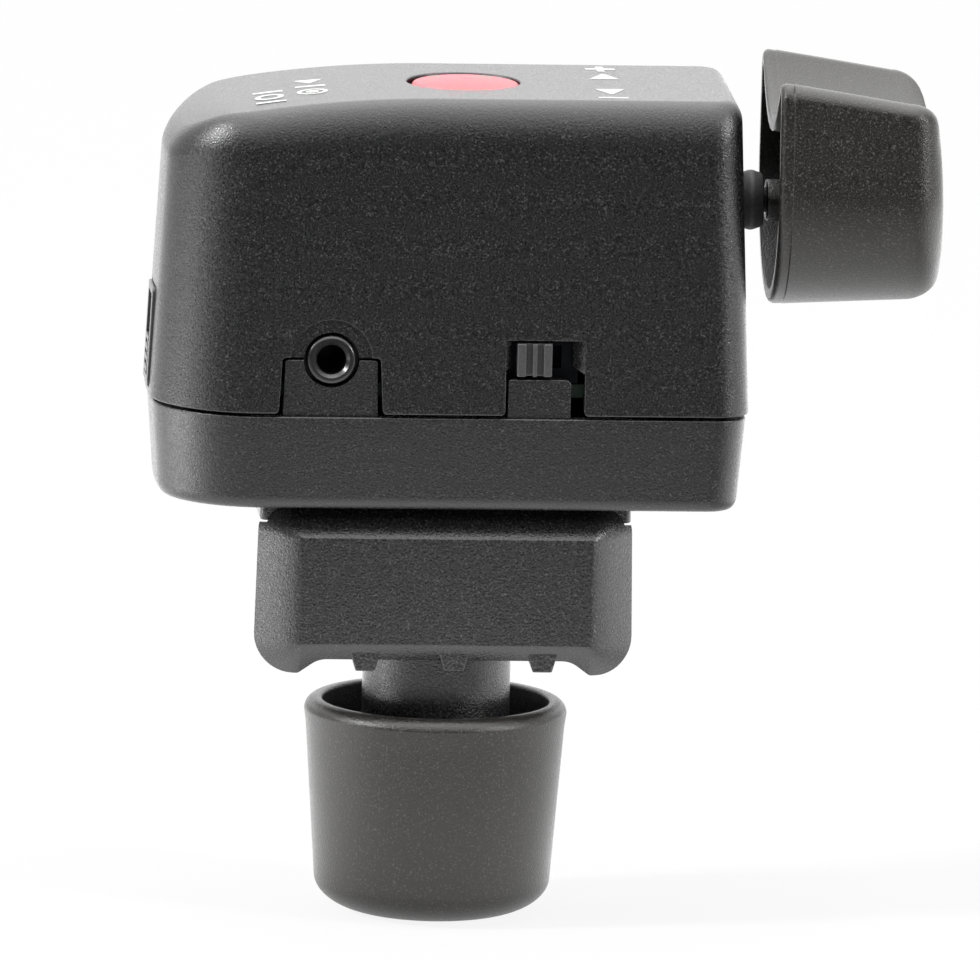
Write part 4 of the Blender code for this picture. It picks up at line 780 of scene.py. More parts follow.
def makePowerSwitch():
    window = panel(power["windowWide"], power["windowTall"], edgeRound)
    back = power["plateDeep"] - power["plateProud"]
    plate = softPrism("powerPlate", panel(power["wide"], power["tall"], power["corner"]),
                      -power["plateProud"], back, power["rim"], "x")
    carved(plate, [softPrism("window", window, -overrun, overrun, 0.0, "x")])
    moved(plate, onLeftWall)
    finished(plate, acetalBlack, "root", ["power_plate"])
    low = power["fit"] - power["windowTall"] / 2.0
    front = -power["plateProud"] - power["sliderProud"]
    ridge = power["slider"] / (2.0 * power["ridges"] - 1.0)
    comb = combOutline([ridge] * power["ridges"], ridge, power["ridgeTall"],
                       back - front - power["ridgeFoot"], power["ridgeRound"])
    comb = np.column_stack([back - comb[:, 1], comb[:, 0] + low, comb[:, 2]])
    half = power["slider"] / 2.0
    slider = softPrism("powerKnob", comb, -half, half, power["sliderRim"], "y")
    stem = power["stemWide"] / 2.0
    stemLow = low + (power["slider"] - power["stemTall"]) / 2.0
    stemSides = box((-stem, stemLow), (stem, stemLow + power["stemTall"]), tinyRound)
    merged(slider, [softPrism("stem", stemSides, power["stemFrom"], power["stemDeep"], tinyRound / 2.0, "x")])
    moved(slider, onLeftWall)
    finished(slider, acetalBlack, "power", ["power_slider"])


makeJack()
makeSelectorKnob()
makePowerSwitch()
print("switches and jack made")


# Thumb rocker on the right end

rocker = {
    "rim": 38.9 * mm, "length": 19.7 * mm, "halfWidth": 15.6 * mm, "widest": 3.5 * mm,
    "lobeY": 15.0 * mm, "lobe": 16.5 * mm, "tip": 1.9 * mm, "bottom": 12.5 * mm, "saddle": 10.4 * mm,
    "slope": radians(8.8), "bellySlope": radians(2.6), "tipSweep": radians(112.0),
    "endLean": 0.9 * mm, "endRound": 3.4 * mm, "endBulge": 0.8 * mm, "rimRound": 0.8 * mm,
    "wall": 1.8 * mm, "innerRound": 0.2 * mm, "band": 1.5 * mm, "bandStep": 0.06 * mm,
    "hub": 2.5 * mm, "hubStart": 38.5 * mm, "hubRound": 0.25 * mm,
    "shaft": 1.55 * mm, "shaftDeep": 10.3 * mm,
    # The groove behind the rim: where it starts before the band's end, its lip, its edge and
    # where it ends
    "groove": (0.1 * mm, 0.04 * mm, 0.12 * mm, 0.3 * mm),
    "bellySteps": 97, "cheekSteps": 14, "tipSteps": 17, "saddleSteps": 62, "longSteps": 14,
    "rimSteps": 6, "edgeSteps": 15, "capSteps": 18, "turn": 72,
}


def rockerSection(shrink):
    # Across the axis: an elliptical belly, widest a little over the axis, straight cheeks that
    # lean in up to round-tipped lobes, and a parabola between the lobes for the thumb
    side, lobe = rocker["halfWidth"] - shrink, rocker["lobeY"] - shrink
    tip = rocker["tip"] - shrink * 0.5
    tipY, tipZ = lobe - tip, rocker["lobe"] - shrink - tip
    belly = np.linspace(-pi, 0.0, rocker["bellySteps"])
    deep = rocker["bottom"] + rocker["widest"] - shrink
    belly = np.stack([side * np.cos(belly), rocker["widest"] + deep * np.sin(belly)], -1)
    up = np.linspace(0.0, 1.0, rocker["cheekSteps"])[1:-1, None]
    cheek = belly[-1] * (1.0 - up) + np.array([lobe, tipZ]) * up
    sweep = np.linspace(0.0, rocker["tipSweep"], rocker["tipSteps"])
    tipArc = np.stack([tipY + tip * np.cos(sweep), tipZ + tip * np.sin(sweep)], -1)
    dip = rocker["saddle"] - shrink
    share = np.linspace(1.0, -1.0, rocker["saddleSteps"])[1:-1]
    saddle = np.stack([tipArc[-1, 0] * share, dip + (tipArc[-1, 1] - dip) * share ** 2], -1)
    right = np.concatenate([cheek, tipArc])
    left = right[::-1] * np.array([-1.0, 1.0])
    return np.concatenate([belly, right, saddle, left])


def rockerRings(shrink, stations):
    # A ring for each station (x, inward): the section shrinks by inward, its upper half drops
    # with the lobes' slope, its belly rises, and the far end leans back and bulges as a bowl:
    # bulge * (1 - (y^2 + z^2) / halfWidth^2)
    section = rockerSection(shrink)
    reach = rocker["halfWidth"] - shrink
    x, inward = np.array(stations).T[:, :, None]
    scale = 1.0 - inward / reach
    flat = np.clip(x, 0.0, rocker["length"] - rocker["endRound"])
    y, z = section.T[:, None]
    up, down = np.maximum(z, 0.0) / rocker["lobe"], np.maximum(-z, 0.0) / rocker["bottom"]
    drop = tan(rocker["slope"]) * flat * up - tan(rocker["bellySlope"]) * flat * down
    back = rocker["endLean"] * (flat / rocker["length"] * up * scale) ** 2
    across, height = y * scale, (z - drop) * scale
    share = np.clip((x - rocker["length"]) / rocker["endRound"] + 1.0, 0.0, 1.0) ** 2
    bowl = np.maximum(1.0 - (across ** 2 + height ** 2) / rocker["halfWidth"] ** 2, 0.0)
    out = rocker["endBulge"] * share * bowl - back
    return np.stack([rocker["rim"] + x + out, across, rockerAxis + height], -1)


def endStations(end, endRound, reach):
    # Round the far edge, then in to the middle over the end
    quarter = np.linspace(0.0, pi / 2.0, rocker["edgeSteps"])
    edge = np.stack([end - endRound * (1.0 - np.sin(quarter)), endRound * (1.0 - np.cos(quarter))], -1)
    share = np.linspace(0.0, 1.0, rocker["capSteps"])[1:]
    cap = np.stack([end + 0.0 * share, endRound + (reach - endRound) * share], -1)
    return np.concatenate([edge, cap])


def makeRocker():
    length, wall, rim = rocker["length"], rocker["wall"], rocker["rimRound"]
    quarter = np.linspace(0.0, pi / 2.0, rocker["rimSteps"])
    band, step = rocker["band"], rocker["bandStep"]
    start = np.stack([rim * (1.0 - np.cos(quarter)), step + rim * (1.0 - np.sin(quarter))], -1)
    before, lip, edge, after = rocker["groove"]
    groove = [(band - before, step), (band, step + lip), (band + edge, 0.0), (band + after, 0.0)]
    along = np.linspace(band + after, length - rocker["endRound"], rocker["longSteps"])[1:-1]
    along = np.stack([along, 0.0 * along], -1)
    end = endStations(length, rocker["endRound"], rocker["halfWidth"])
    outer = np.concatenate([start, np.array(groove), along, end])
    hollow = length - wall
    inRound = rocker["endRound"] - wall
    small = rocker["innerRound"]
    start = np.stack([small * (1.0 - np.cos(quarter)), -small * (1.0 - np.sin(quarter))], -1)
    along = np.linspace(small, hollow - inRound, rocker["longSteps"])[1:-1]
    along = np.stack([along, 0.0 * along], -1)
    inner = np.concatenate([start, along, endStations(hollow, inRound, rocker["halfWidth"] - wall)])
    grid = np.concatenate([rockerRings(0.0, outer)[::-1], rockerRings(wall, inner)])
    cup = surface("thumbRocker", grid)
    middle = (0.0, 0.0, rockerAxis)
    hubStart, hubEnd = rocker["hubStart"], rocker["rim"] + length - wall * 0.5
    hub = rounded([(0.0, hubStart, 0.0), (rocker["hub"], hubStart, rocker["hubRound"]),
                   (rocker["hub"], hubEnd, 0.0), (0.0, hubEnd, 0.0)], fewSteps)
    merged(cup, [turned("hub", hub, middle, "x", rocker["turn"])])
    carved(cup, [rod("hubBore", rocker["shaft"], hubStart - overrun, hubStart + rocker["shaftDeep"],
                     middle, "x", rocker["turn"])])
    return finished(cup, satinAbs, "rocker", ["zoom_rocker"])


collar = {"hole": 1.8 * mm, "neck": 2.8 * mm, "gap": 0.3 * mm, "taper": 0.5 * mm, "bulge": 1.2 * mm}


def makeCollar():
    # A thin neck in the wall, and a ring outside it that bulges in the middle
    low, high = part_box("shaft_bush")
    start = halfWidth - (rockerAxis - seam) * tan(housing["upperDraft"]) + collar["gap"]
    big = (high.z - low.z) / 2.0
    hole, neck, small = collar["hole"], collar["neck"], big - collar["taper"]
    corners = [(hole, low.x, 0.0), (neck, low.x, smallRound), (neck, start, 0.0),
               (small, start, edgeRound), (big, (start + high.x) / 2.0, collar["bulge"]),
               (small, high.x, edgeRound), (hole, high.x, smallRound)]
    bush = turned("rockerCollar", rounded(corners), (0.0, 0.0, rockerAxis), "x", loopRows=True)
    return finished(bush, blackRubber, "root", ["shaft_bush"])


makeRocker()
makeCollar()
print("rocker made")


# Clamp

clampLow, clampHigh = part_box("clamp_body")
clamp = {
    "halfTop": 22.5 * mm, "halfFoot": 22.9 * mm, "front": clampLow.y, "spine": 4.8 * mm,
    "top": clampHigh.z, "edge": 32.9 * mm, "foot": 31.0 * mm,
    "sideIn": 5.6 * mm, "sideDeep": 4.7 * mm, "edgeIn": 2.1 * mm, "topIn": 3.8 * mm, "curve": 1.35,
    "edgeLean": 0.55, "topRound": 3.4 * mm, "footRound": 4.4 * mm, "plateSteps": 18,
    "footHalf": 17.6 * mm, "footSoft": 0.7 * mm, "edgeHalf": 15.2 * mm, "edgeRound": 3.0 * mm,
    "armLow": 33.8 * mm, "armHigh": 36.6 * mm, "armBack": 12.0 * mm, "armIn": 1.3 * mm,
    "armRound": 4.0 * mm, "armRim": 0.4 * mm, "intoWall": 1.2 * mm, "intoArm": 1.0 * mm,
    "bossRadius": 8.95 * mm, "bossLow": 18.0 * mm, "bossFlare": 10.5 * mm, "bossRound": 0.5 * mm,
    "ribs": (-9.6 * mm, 1.1 * mm, 11.8 * mm),
    "ribTop": 3.6 * mm, "ribFoot": 2.3 * mm, "ribLow": 31.6 * mm, "ribShort": 2.6 * mm,
    "runner": (20.2 * mm, 17.7 * mm, 16.4 * mm, 21.0 * mm), "runnerShort": 1.3 * mm,
    "ledgeLow": 44.6 * mm, "ledgeHigh": 49.0 * mm, "ledgeBack": -3.6 * mm, "ledgeHalf": 18.9 * mm,
    "insert": 5.1 * mm, "insertTop": 28.1 * mm, "screwHole": 3.3 * mm,
    "padHole": 6.3 * mm, "padFloor": 34.1 * mm, "padChamfer": 0.3 * mm,
    "plateRoom": (30.0 * mm, -10.1 * mm, 20.0 * mm, 60.0 * mm),
    "ledgeRound": 0.6 * mm, "ledgeRim": 0.25 * mm, "bossInArm": 0.9 * mm, "bossFoot": 0.8 * mm,
    "ribRound": 0.25 * mm, "ribFrom": 0.5 * mm, "runnerOut": 0.9 * mm, "runnerIn": 0.6 * mm,
    "runnerRim": 0.5 * mm, "armSteps": 10, "plateArc": 12, "platePoints": 640,
}


def walked(outline, count):
    # The same closed outline with its points evenly spaced along it
    closed = np.concatenate([outline, outline[:1]])
    run = np.concatenate([[0.0], np.cumsum(np.linalg.norm(np.diff(closed, axis=0), axis=1))])
    at = np.linspace(0.0, run[-1], count, endpoint=False)
    return np.stack([np.interp(at, run, closed[:, 0]), np.interp(at, run, closed[:, 1])], -1)


def makeClampPlate():
    # The front wall: its outline comes forward while it shrinks towards an inner rectangle, and
    # the depth grows as a power of the way out. The sides are broad and the lower edge a narrow
    # slant, both at about 45 degrees at their rims.
    top, foot, edge = clamp["top"], clamp["foot"], clamp["edge"]
    half = clamp["halfFoot"]
    side = [(clamp["halfTop"], top, clamp["topRound"]), (half, foot, clamp["footRound"]),
            (clamp["footHalf"], foot, clamp["footSoft"]), (clamp["edgeHalf"], edge, clamp["edgeRound"])]
    corners = side[:1] + [(-x, z, radius) for x, z, radius in side] + side[:0:-1]
    outline = walked(rounded(corners, clamp["plateArc"]), clamp["platePoints"])
    low = np.array([clamp["sideIn"] - half, edge + clamp["edgeIn"]])
    high = np.array([half - clamp["sideIn"], top - clamp["topIn"]])
    core = np.clip(outline, low, high)
    out = outline - core
    lean = np.where(out[:, 1] < 0.0, clamp["edgeLean"], 1.0)
    deep = np.hypot(out[:, 0] * clamp["sideDeep"] / clamp["sideIn"], out[:, 1] * lean)
    deep = np.minimum(deep, clamp["sideDeep"])
    back = clamp["front"] + clamp["spine"]
    share = np.linspace(1.0, 0.0, clamp["plateSteps"] + 1)[:, None]
    curve = core + out * share[..., None]
    forward = clamp["front"] + deep * share ** clamp["curve"]
    front = np.stack([curve[..., 0], forward, curve[..., 1]], -1)
    behind = front[:1].copy()
    behind[..., 1] = back
    return surface("clampBody", np.concatenate([behind, front]), caps=True)


def makeClampBody():
    # The front wall, the arm with its ribs and runners, the ledge under the upper jaw and the
    # boss for the screw
    body = makeClampPlate()
    inside = clamp["front"] + clamp["spine"] - clamp["intoWall"]
    half = clamp["halfFoot"] - clamp["armIn"]
    armLow, armHigh, armBack = clamp["armLow"], clamp["armHigh"], clamp["armBack"]
    armRound = clamp["armRound"]
    arm = softPrism("arm", [(-half, inside, 0.0), (half, inside, 0.0), (half, armBack, armRound),
                            (-half, armBack, armRound)], armLow, armHigh, clamp["armRim"], "z",
                    clamp["armSteps"])
    reach = clamp["ledgeHalf"]
    ledge = softPrism("ledge", box((-reach, inside), (reach, clamp["ledgeBack"]), clamp["ledgeRound"]),
                      clamp["ledgeLow"], clamp["ledgeHigh"], clamp["ledgeRim"], "z")
    bossLow, radius, flare = clamp["bossLow"], clamp["bossRadius"], clamp["bossFlare"]
    inArm = clamp["bossInArm"]
    boss = turned("boss", rounded([
        (0.0, bossLow, 0.0), (radius, bossLow, clamp["bossRound"]), (radius, armLow, clamp["bossFoot"]),
        (flare, armLow, 0.0), (flare, armLow + inArm, 0.0), (0.0, armLow + inArm, 0.0)]), steps=largeTurn)
    ribs, soft = [], clamp["ribRound"]
    top, foot, ribHigh = clamp["ribTop"] / 2.0, clamp["ribFoot"] / 2.0, armLow + clamp["intoArm"]
    for x in clamp["ribs"]:
        outline = [(x - foot, clamp["ribLow"], soft), (x + foot, clamp["ribLow"], soft),
                   (x + top, armLow, 0.0), (x + top, ribHigh, 0.0), (x - top, ribHigh, 0.0),
                   (x - top, armLow, 0.0)]
        ribs.append(softPrism("rib", outline, clamp["front"] + clamp["ribFrom"],
                              armBack - clamp["ribShort"], smallRound))
    runners = []
    runnerTop = armLow + clamp["armRim"]
    outFoot, inFoot, inTop, outTop = clamp["runner"]
    for side in (-1.0, 1.0):
        outline = [(side * outFoot, clamp["foot"], clamp["runnerOut"]),
                   (side * inFoot, clamp["foot"], clamp["runnerIn"]),
                   (side * inTop, runnerTop, edgeRound), (side * outTop, runnerTop, 0.0)]
        runners.append(softPrism("runner", outline, inside, armBack - clamp["runnerShort"],
                                 clamp["runnerRim"]))
    merged(body, [arm, ledge, boss] + ribs + runners)
    insert, screw, step = clamp["insert"], clamp["screwHole"], clamp["insertTop"]
    pad, floor, wide = clamp["padHole"], clamp["padFloor"], clamp["padHole"] + clamp["padChamfer"]
    over = armHigh + overrun
    roomHalf, roomFront, roomBack, roomTop = clamp["plateRoom"]
    bores = [
        turned("insertBore", [(0.0, bossLow - overrun), (insert, bossLow - overrun), (insert, step),
                              (screw, step), (screw, over), (0.0, over)]),
        turned("padPocket", rounded([
            (0.0, floor, 0.0), (pad, floor, smallRound), (pad, armHigh - clamp["padChamfer"], 0.0),
            (wide, armHigh, 0.0), (wide, over, 0.0), (0.0, over, 0.0)], leastSteps)),
        softPrism("plateRoom", box((-roomHalf, roomFront), (roomHalf, roomBack)), clamp["ledgeHigh"],
                  roomTop, 0.0, "z")]
    carved(body, bores)
    return finished(body, clampNylon, "root", ["clamp_body"])


jaw = {
    "corner": 0.9 * mm, "rim": 0.25 * mm, "gap": 0.3 * mm, "sink": 1.2 * mm, "hole": 1.8 * mm,
    "ridges": 9, "ridgeTall": 0.35 * mm, "ridgeRound": 0.12 * mm, "turn": 40,
}


def makeJaw():
    low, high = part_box("jaw_plate")
    plate = softPrism("jawPlate", box((low.x, low.y), (high.x, high.y), jaw["corner"]), low.z, high.z,
                      jaw["rim"], "z")
    holes = []
    for node in ("jaw_screw_1", "jaw_screw_2", "jaw_fixing_1", "jaw_fixing_2"):
        screwLow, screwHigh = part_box(node)
        x, y, _ = middleOf(node)
        turn = jaw["turn"]
        head = (screwHigh.x - screwLow.x) / 2.0 + jaw["gap"]
        ends = [high.z - jaw["sink"] - jaw["gap"], high.z + overrun]
        if "fixing" in node:                      # these two go in from below
            ends = [low.z - overrun, low.z + jaw["sink"]]
        holes += [rod("sink", head, *ends, (x, y, 0.0), steps=turn),
                  rod("hole", jaw["hole"], low.z - overrun, high.z + overrun, (x, y, 0.0), steps=turn)]
    carved(plate, holes)
    finished(plate, clampNylon, "root", ["jaw_plate"])
    low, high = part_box("jaw_pad")
    ridge = (high.y - low.y) / (2.0 * jaw["ridges"] - 1.0)
    comb = combOutline([ridge] * jaw["ridges"], ridge, jaw["ridgeTall"], high.z - low.z - jaw["ridgeTall"],
                       jaw["ridgeRound"])
    comb = np.column_stack([comb[:, 0] + low.y, high.z - comb[:, 1], comb[:, 2]])
    pad = softPrism("jawPad", comb, low.x, high.x, edgeRound, "x")
    finished(pad, blackRubber, "root", ["jaw_pad"])


thread = {
    "pitch": 1.0 * mm, "outer": 3.0 * mm, "depth": 0.55 * mm, "fade": 0.8 * mm, "rows": 420,
    "nose": 1.5 * mm, "noseChamfer": 0.2 * mm, "underPad": 0.3 * mm, "padHole": 1.8 * mm,
    "faceRing": (4.4 * mm, 3.8 * mm, 0.2 * mm), "padRound": 0.4 * mm, "faceEdge": 0.15 * mm,
    # The wave is stretched, then lowered and cut off, which makes the crests and roots flat
    "stretch": 1.25, "lowered": 0.12, "smoothUpTo": 50.0,
}


def makeClampScrew():
    # An M6 thread: the radius follows a triangle wave of height less turns round the axis, with
    # its crests and roots cut flat, and fades out at both ends
    low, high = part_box("clamp_screw")
    padLow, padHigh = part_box("pressure_pad")
    faceLow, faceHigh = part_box("pressure_pad_face")
    outer, depth = thread["outer"], thread["depth"]
    top = padLow.z - thread["underPad"]
    heights = np.linspace(low.z, top, thread["rows"])[:, None]
    angle = np.linspace(0.0, 2.0 * pi, smallTurn, endpoint=False)[None, :]
    wave = np.abs(((heights / thread["pitch"] - angle / (2.0 * pi)) % 1.0) * 2.0 - 1.0)
    ends = np.clip(np.minimum(heights - low.z, top - heights) / thread["fade"], 0.0, 1.0)
    radius = outer - depth + depth * np.clip(wave * thread["stretch"] - thread["lowered"], 0.0, 1.0) * ends
    turns = np.stack([radius * np.cos(angle), radius * np.sin(angle), heights + 0.0 * angle], -1)
    nose, chamfer = thread["nose"], thread["noseChamfer"]
    circle = np.stack([np.cos(angle[0]), np.sin(angle[0])], -1)

    def rings(cap):
        return np.stack([np.column_stack([circle * r, np.full(len(circle), z)]) for r, z in cap])

    foot = rings([(0.0, low.z), (outer - depth, low.z)])
    tip = rings([(nose, top), (nose, high.z - chamfer), (nose - chamfer, high.z), (0.0, high.z)])
    screw = surface("threadedScrew", np.concatenate([foot, turns, tip]))
    finished(screw, zincSteel, "knob", ["clamp_screw"], thread["smoothUpTo"])
    radius, nose = (padHigh.x - padLow.x) / 2.0, thread["padHole"]
    pad = turned("pressurePad", rounded([
        (0.0, high.z, 0.0), (nose, high.z, 0.0), (nose, padLow.z, tinyRound), (radius, padLow.z, smallRound),
        (radius, padHigh.z, thread["padRound"]), (0.0, padHigh.z, 0.0)], fewSteps))
    finished(pad, greyAcetal, "pad", ["pressure_pad"])
    wide, narrow, deep = thread["faceRing"]
    soft, edge = tinyRound, thread["padRound"]
    face = turned("pressurePadFace", rounded([
        (0.0, faceLow.z, 0.0), (radius, faceLow.z, thread["faceEdge"]), (radius, faceHigh.z, edge),
        (wide, faceHigh.z, soft), (wide, faceHigh.z - deep, soft), (narrow, faceHigh.z - deep, soft),
        (narrow, faceHigh.z, soft), (0.0, faceHigh.z, 0.0)], leastSteps))
    finished(face, blackRubber, "pad", ["pressure_pad_face"])


knob = {
    "height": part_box("clamp_knob")[1].z, "rim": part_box("clamp_knob")[1].x, "wall": 2.2 * mm,
    "taper": 0.0742,                              # how much narrower per length down
    "outerRound": 1.6 * mm, "innerRound": 0.5 * mm, "footTall": 4.3 * mm, "footWide": 7.2 * mm,
    "floor": 8.0 * mm, "floorRound": 1.0 * mm, "post": 5.2 * mm, "postTop": 11.5 * mm,
    "postRound": 0.4 * mm, "postFoot": 0.6 * mm, "bore": 3.3 * mm, "boreFloor": 3.4 * mm,
    "footSteps": 25, "wallSteps": 14, "rimSteps": 14, "innerSteps": 7, "turn": 192,
}


def makeKnob():
    # A cup turned from one profile: elliptical foot, leaning wall, round rim, and the post
    # that holds the screw inside
    def outerAt(z):
        return knob["rim"] - knob["taper"] * (knob["height"] - z)

    foot = np.linspace(-pi / 2.0, -knob["taper"], knob["footSteps"])
    tall, wide = knob["footTall"], knob["footWide"]
    footCurve = np.stack([outerAt(tall) - wide + wide * np.cos(foot), tall + tall * np.sin(foot)], -1)
    rim, outer, inner = knob["rim"], knob["outerRound"], knob["innerRound"]
    top = knob["height"]
    wall = np.array([(outerAt(z), z) for z in np.linspace(tall, top - outer, knob["wallSteps"])[1:-1]])
    over = np.linspace(knob["taper"], pi / 2.0, knob["rimSteps"])
    rimOuter = np.stack([rim - outer + outer * np.cos(over), top - outer + outer * np.sin(over)], -1)
    back = np.linspace(pi / 2.0, pi, knob["innerSteps"])
    innerRim = rim - knob["wall"]
    rimInner = np.stack([innerRim + inner + inner * np.cos(back), top - inner + inner * np.sin(back)], -1)
    bore, post, floor = knob["bore"], knob["post"], knob["floor"]
    cup = rounded([(0.0, knob["boreFloor"], 0.0), (bore, knob["boreFloor"], smallRound),
                   (bore, knob["postTop"], edgeRound), (post, knob["postTop"], knob["postRound"]),
                   (post, floor, knob["postFoot"]),
                   (outerAt(floor) - knob["wall"], floor, knob["floorRound"]), (innerRim, top, 0.0)])
    cup = cup[cup[:, 1] < top - inner][::-1]
    profile = np.concatenate([[(0.0, 0.0)], footCurve, wall, rimOuter, rimInner, cup])
    cup = turned("clampKnob", profile, steps=knob["turn"])
    return finished(cup, satinAbs, "knob", ["clamp_knob"])


makeClampBody()
makeJaw()
makeClampScrew()
makeKnob()
print("clamp made")


# Case screws, seen from below

def makeCaseScrew(number):
    node = "case_screw_" + str(number)
    low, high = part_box(node)
    x, y, _ = middleOf(node)
    head, shank, soft = (high.x - low.x) / 2.0, caseScrew["shank"], tinyRound
    under = low.z + caseScrew["headTall"]
    screw = turned("caseScrew" + str(number), rounded([
        (0.0, low.z, 0.0), (head, low.z, caseScrew["headRound"]), (head, under, soft),
        (shank, under, soft), (shank, high.z, caseScrew["tipRound"]), (0.0, high.z, 0.0)], fewSteps),
        (x, y, 0.0), steps=smallTurn)
    arm, thin = head * caseScrew["crossLong"], head * caseScrew["crossThin"]
    carved(screw, [softPrism("cross", box((x - half, y - other), (x + half, y + other), soft),
                             low.z - overrun, low.z + caseScrew["crossDeep"], soft, "z")
                   for half, other in ((arm, thin), (thin, arm))])
    return finished(screw, zincSteel, "root", [node])


for screwNumber in caseScrew["numbers"]:
    makeCaseScrew(screwNumber)


# Printed marks on the roof: plain signs where the real one has its print

marks = {
    "lift": 0.012 * mm, "thick": 0.02 * mm, "across": 10, "along": 14, "ringSteps": 16,
    "left": -22.1 * mm, "inner": -16.9 * mm, "right": 18.9 * mm,     # the three columns
}


def printedPatch(name, corners):
    # A film of ink over a four-sided patch: its two skins follow the roof's curve, and a
    # triangle is a patch with two corners in one place
    u = np.linspace(0.0, 1.0, marks["across"])[None, :, None]
    v = np.linspace(0.0, 1.0, marks["along"])[:, None, None]
    a, b, c, d = np.array(corners)
    flat = (a * (1.0 - u) + b * u) * (1.0 - v) + (d * (1.0 - u) + c * u) * v
    inset = (roofTop - seam) * tan(housing["upperDraft"])
    roof = roofTop - roofDrop(flat[..., 0] / (1.0 - inset / halfWidth))
    under = np.dstack([flat, roof + marks["lift"]])
    over = np.dstack([flat, roof + marks["lift"] + marks["thick"]])
    return surface(name, np.concatenate([under, over[:, ::-1]], 1), caps=True)


def bar(x, y, wide, deep):
    return [[(x - wide / 2.0, y - deep / 2.0), (x + wide / 2.0, y - deep / 2.0),
             (x + wide / 2.0, y + deep / 2.0), (x - wide / 2.0, y + deep / 2.0)]]


def arrowhead(x, y, wide, deep):
    # Its point is deep from its base along Y: towards the viewer where deep is negative
    return [[(x - wide / 2.0, y), (x + wide / 2.0, y), (x, y + deep), (x, y + deep)]]


def ring(x, y, outer, inner):
    turns = np.linspace(0.0, 2.0 * pi, marks["ringSteps"] + 1)
    edge = np.stack([np.cos(turns), np.sin(turns)], -1)
    centre = np.array([x, y])
    return [[centre + a * inner, centre + b * inner, centre + b * outer, centre + a * outer]
            for a, b in zip(edge, edge[1:])]


wide, thin = 3.6, 0.9
arm = (wide - thin) / 2.0
signs = (                                        # sign, column, place along Y and sizes in mm
    (ring, "inner", -4.6, 1.9, 1.35), (ring, "inner", -4.6, 0.8, 0.01),
    (bar, "inner", -0.6, wide, thin), (arrowhead, "inner", 4.0, wide, -2.6),
    (bar, "left", -9.0, wide, thin), (ring, "left", -5.4, 1.8, 1.1), (bar, "left", -1.9, wide, thin),
    (bar, "right", -11.4, wide, thin), (arrowhead, "right", -5.0, wide, -4.0),
    (arrowhead, "right", 2.6, wide, 4.0), (bar, "right", 10.0, wide, thin),
    (bar, "right", 10.0 - (thin + arm) / 2.0, thin, arm),
    (bar, "right", 10.0 + (thin + arm) / 2.0, thin, arm),
)


def makeMarks():
    films = []
    for sign, column, y, first, second in signs:
        for patch in sign(marks[column], y * mm, first * mm, second * mm):
            films.append(printedPatch("roofMarks", patch))
    skin = bmesh.new()
    for film in films:
        skin.from_mesh(film.data)
    skin.to_mesh(films[0].data)
    skin.free()
    for film in films[1:]:
        bpy.data.objects.remove(film)
    return finished(films[0], printInk, "root")


makeMarks()
print("marks made")


# Finishes of the CAD nodes that are shown as they are

nodeFinish = {
    "steel": zincSteel, "brass": turnedBrass, "circuit_board": solderMask, "grey_plastic": greyAcetal,
    "black_rubber": blackRubber, "switch_plastic": acetalBlack, "jack_plastic": jackNylon,
    "clamp_plastic": clampNylon, "housing_plastic": housingAbs, "handled_plastic": satinAbs,
    "button_plastic": redAbs,
}
for row in frame["record"]["subparts"]:
    node = frame["nodes"][row["node"]]
    node.data.materials.clear()
    # Painted shade: the switches' frames and the shaft, steel in the record, take the near-black steel so the
    # slots stay dark
    paintedShadeNode = row["node"] in ("selector_switch", "power_switch", "rocker_shaft")
    node.data.materials.append(paintedShadeSteel if paintedShadeNode else nodeFinish[row["material_slot"]])


# Studio: a white sweep with its light from above, behind and the sides, and a dark front

studio = {
    "floorSize": 8.0, "shownShare": 0.88, "floorColour": "#f2f2f2",
    # Painted light and shade that reflections find on the floor: its brightness by Y, its share by X,
    # the painted shadow round the foot and the painted bright patch
    "nearFloor": 2.6, "farFloor": 0.03, "floorFrom": -0.27, "floorTo": -0.03,
    "floorShares": ((-0.6, 0.3), (-0.3, 0.7), (-0.1, 0.9), (0.02, 1.05), (0.09, 0.45), (0.12, 0.45),
                    (0.16, 1.4), (0.3, 1.6), (0.6, 0.8)),
    "shade": 0.35, "shadeFrom": 0.0105, "shadeEnd": 0.035,
    "patchX": -0.27, "patchReach": 0.12, "patchFull": 0.05, "patch": 12.0,
    # What they find of the room, by direction: dark in front of frontEnd, full from the sides
    # back, and brighter overhead, which sets in between two heights
    "front": 0.024, "frontEnd": -0.6, "sides": 0.92, "overhead": 4.16, "overheadFrom": 0.22,
    "overheadTo": 0.75, "world": 0.24,
}
lampAim = (0.0, 0.0, 0.06)
lamps = {                                        # place, width and height in metres, watts
    "overheadSoftbox": ((0.0, 0.0, 1.3), 1.0, 1.0, 7.0),
    "backSoftbox": ((0.1, 1.1, 0.45), 1.6, 0.7, 4.0),
    "leftSoftbox": ((-1.08, -0.25, 0.64), 0.14, 0.14, 14.0),
    "rightSoftbox": ((1.06, -0.66, 0.42), 0.16, 0.16, 9.0),
}


def anyOf(tree, *rays):
    # One where the ray is of any of the named kinds
    path = addNode(tree, "ShaderNodeLightPath")
    found = path.outputs[rays[0]]
    for kind in rays[1:]:
        found = addNode(tree, "ShaderNodeMath", {"operation": "MAXIMUM"},
                        {0: found, 1: path.outputs[kind]}).outputs[0]
    return found


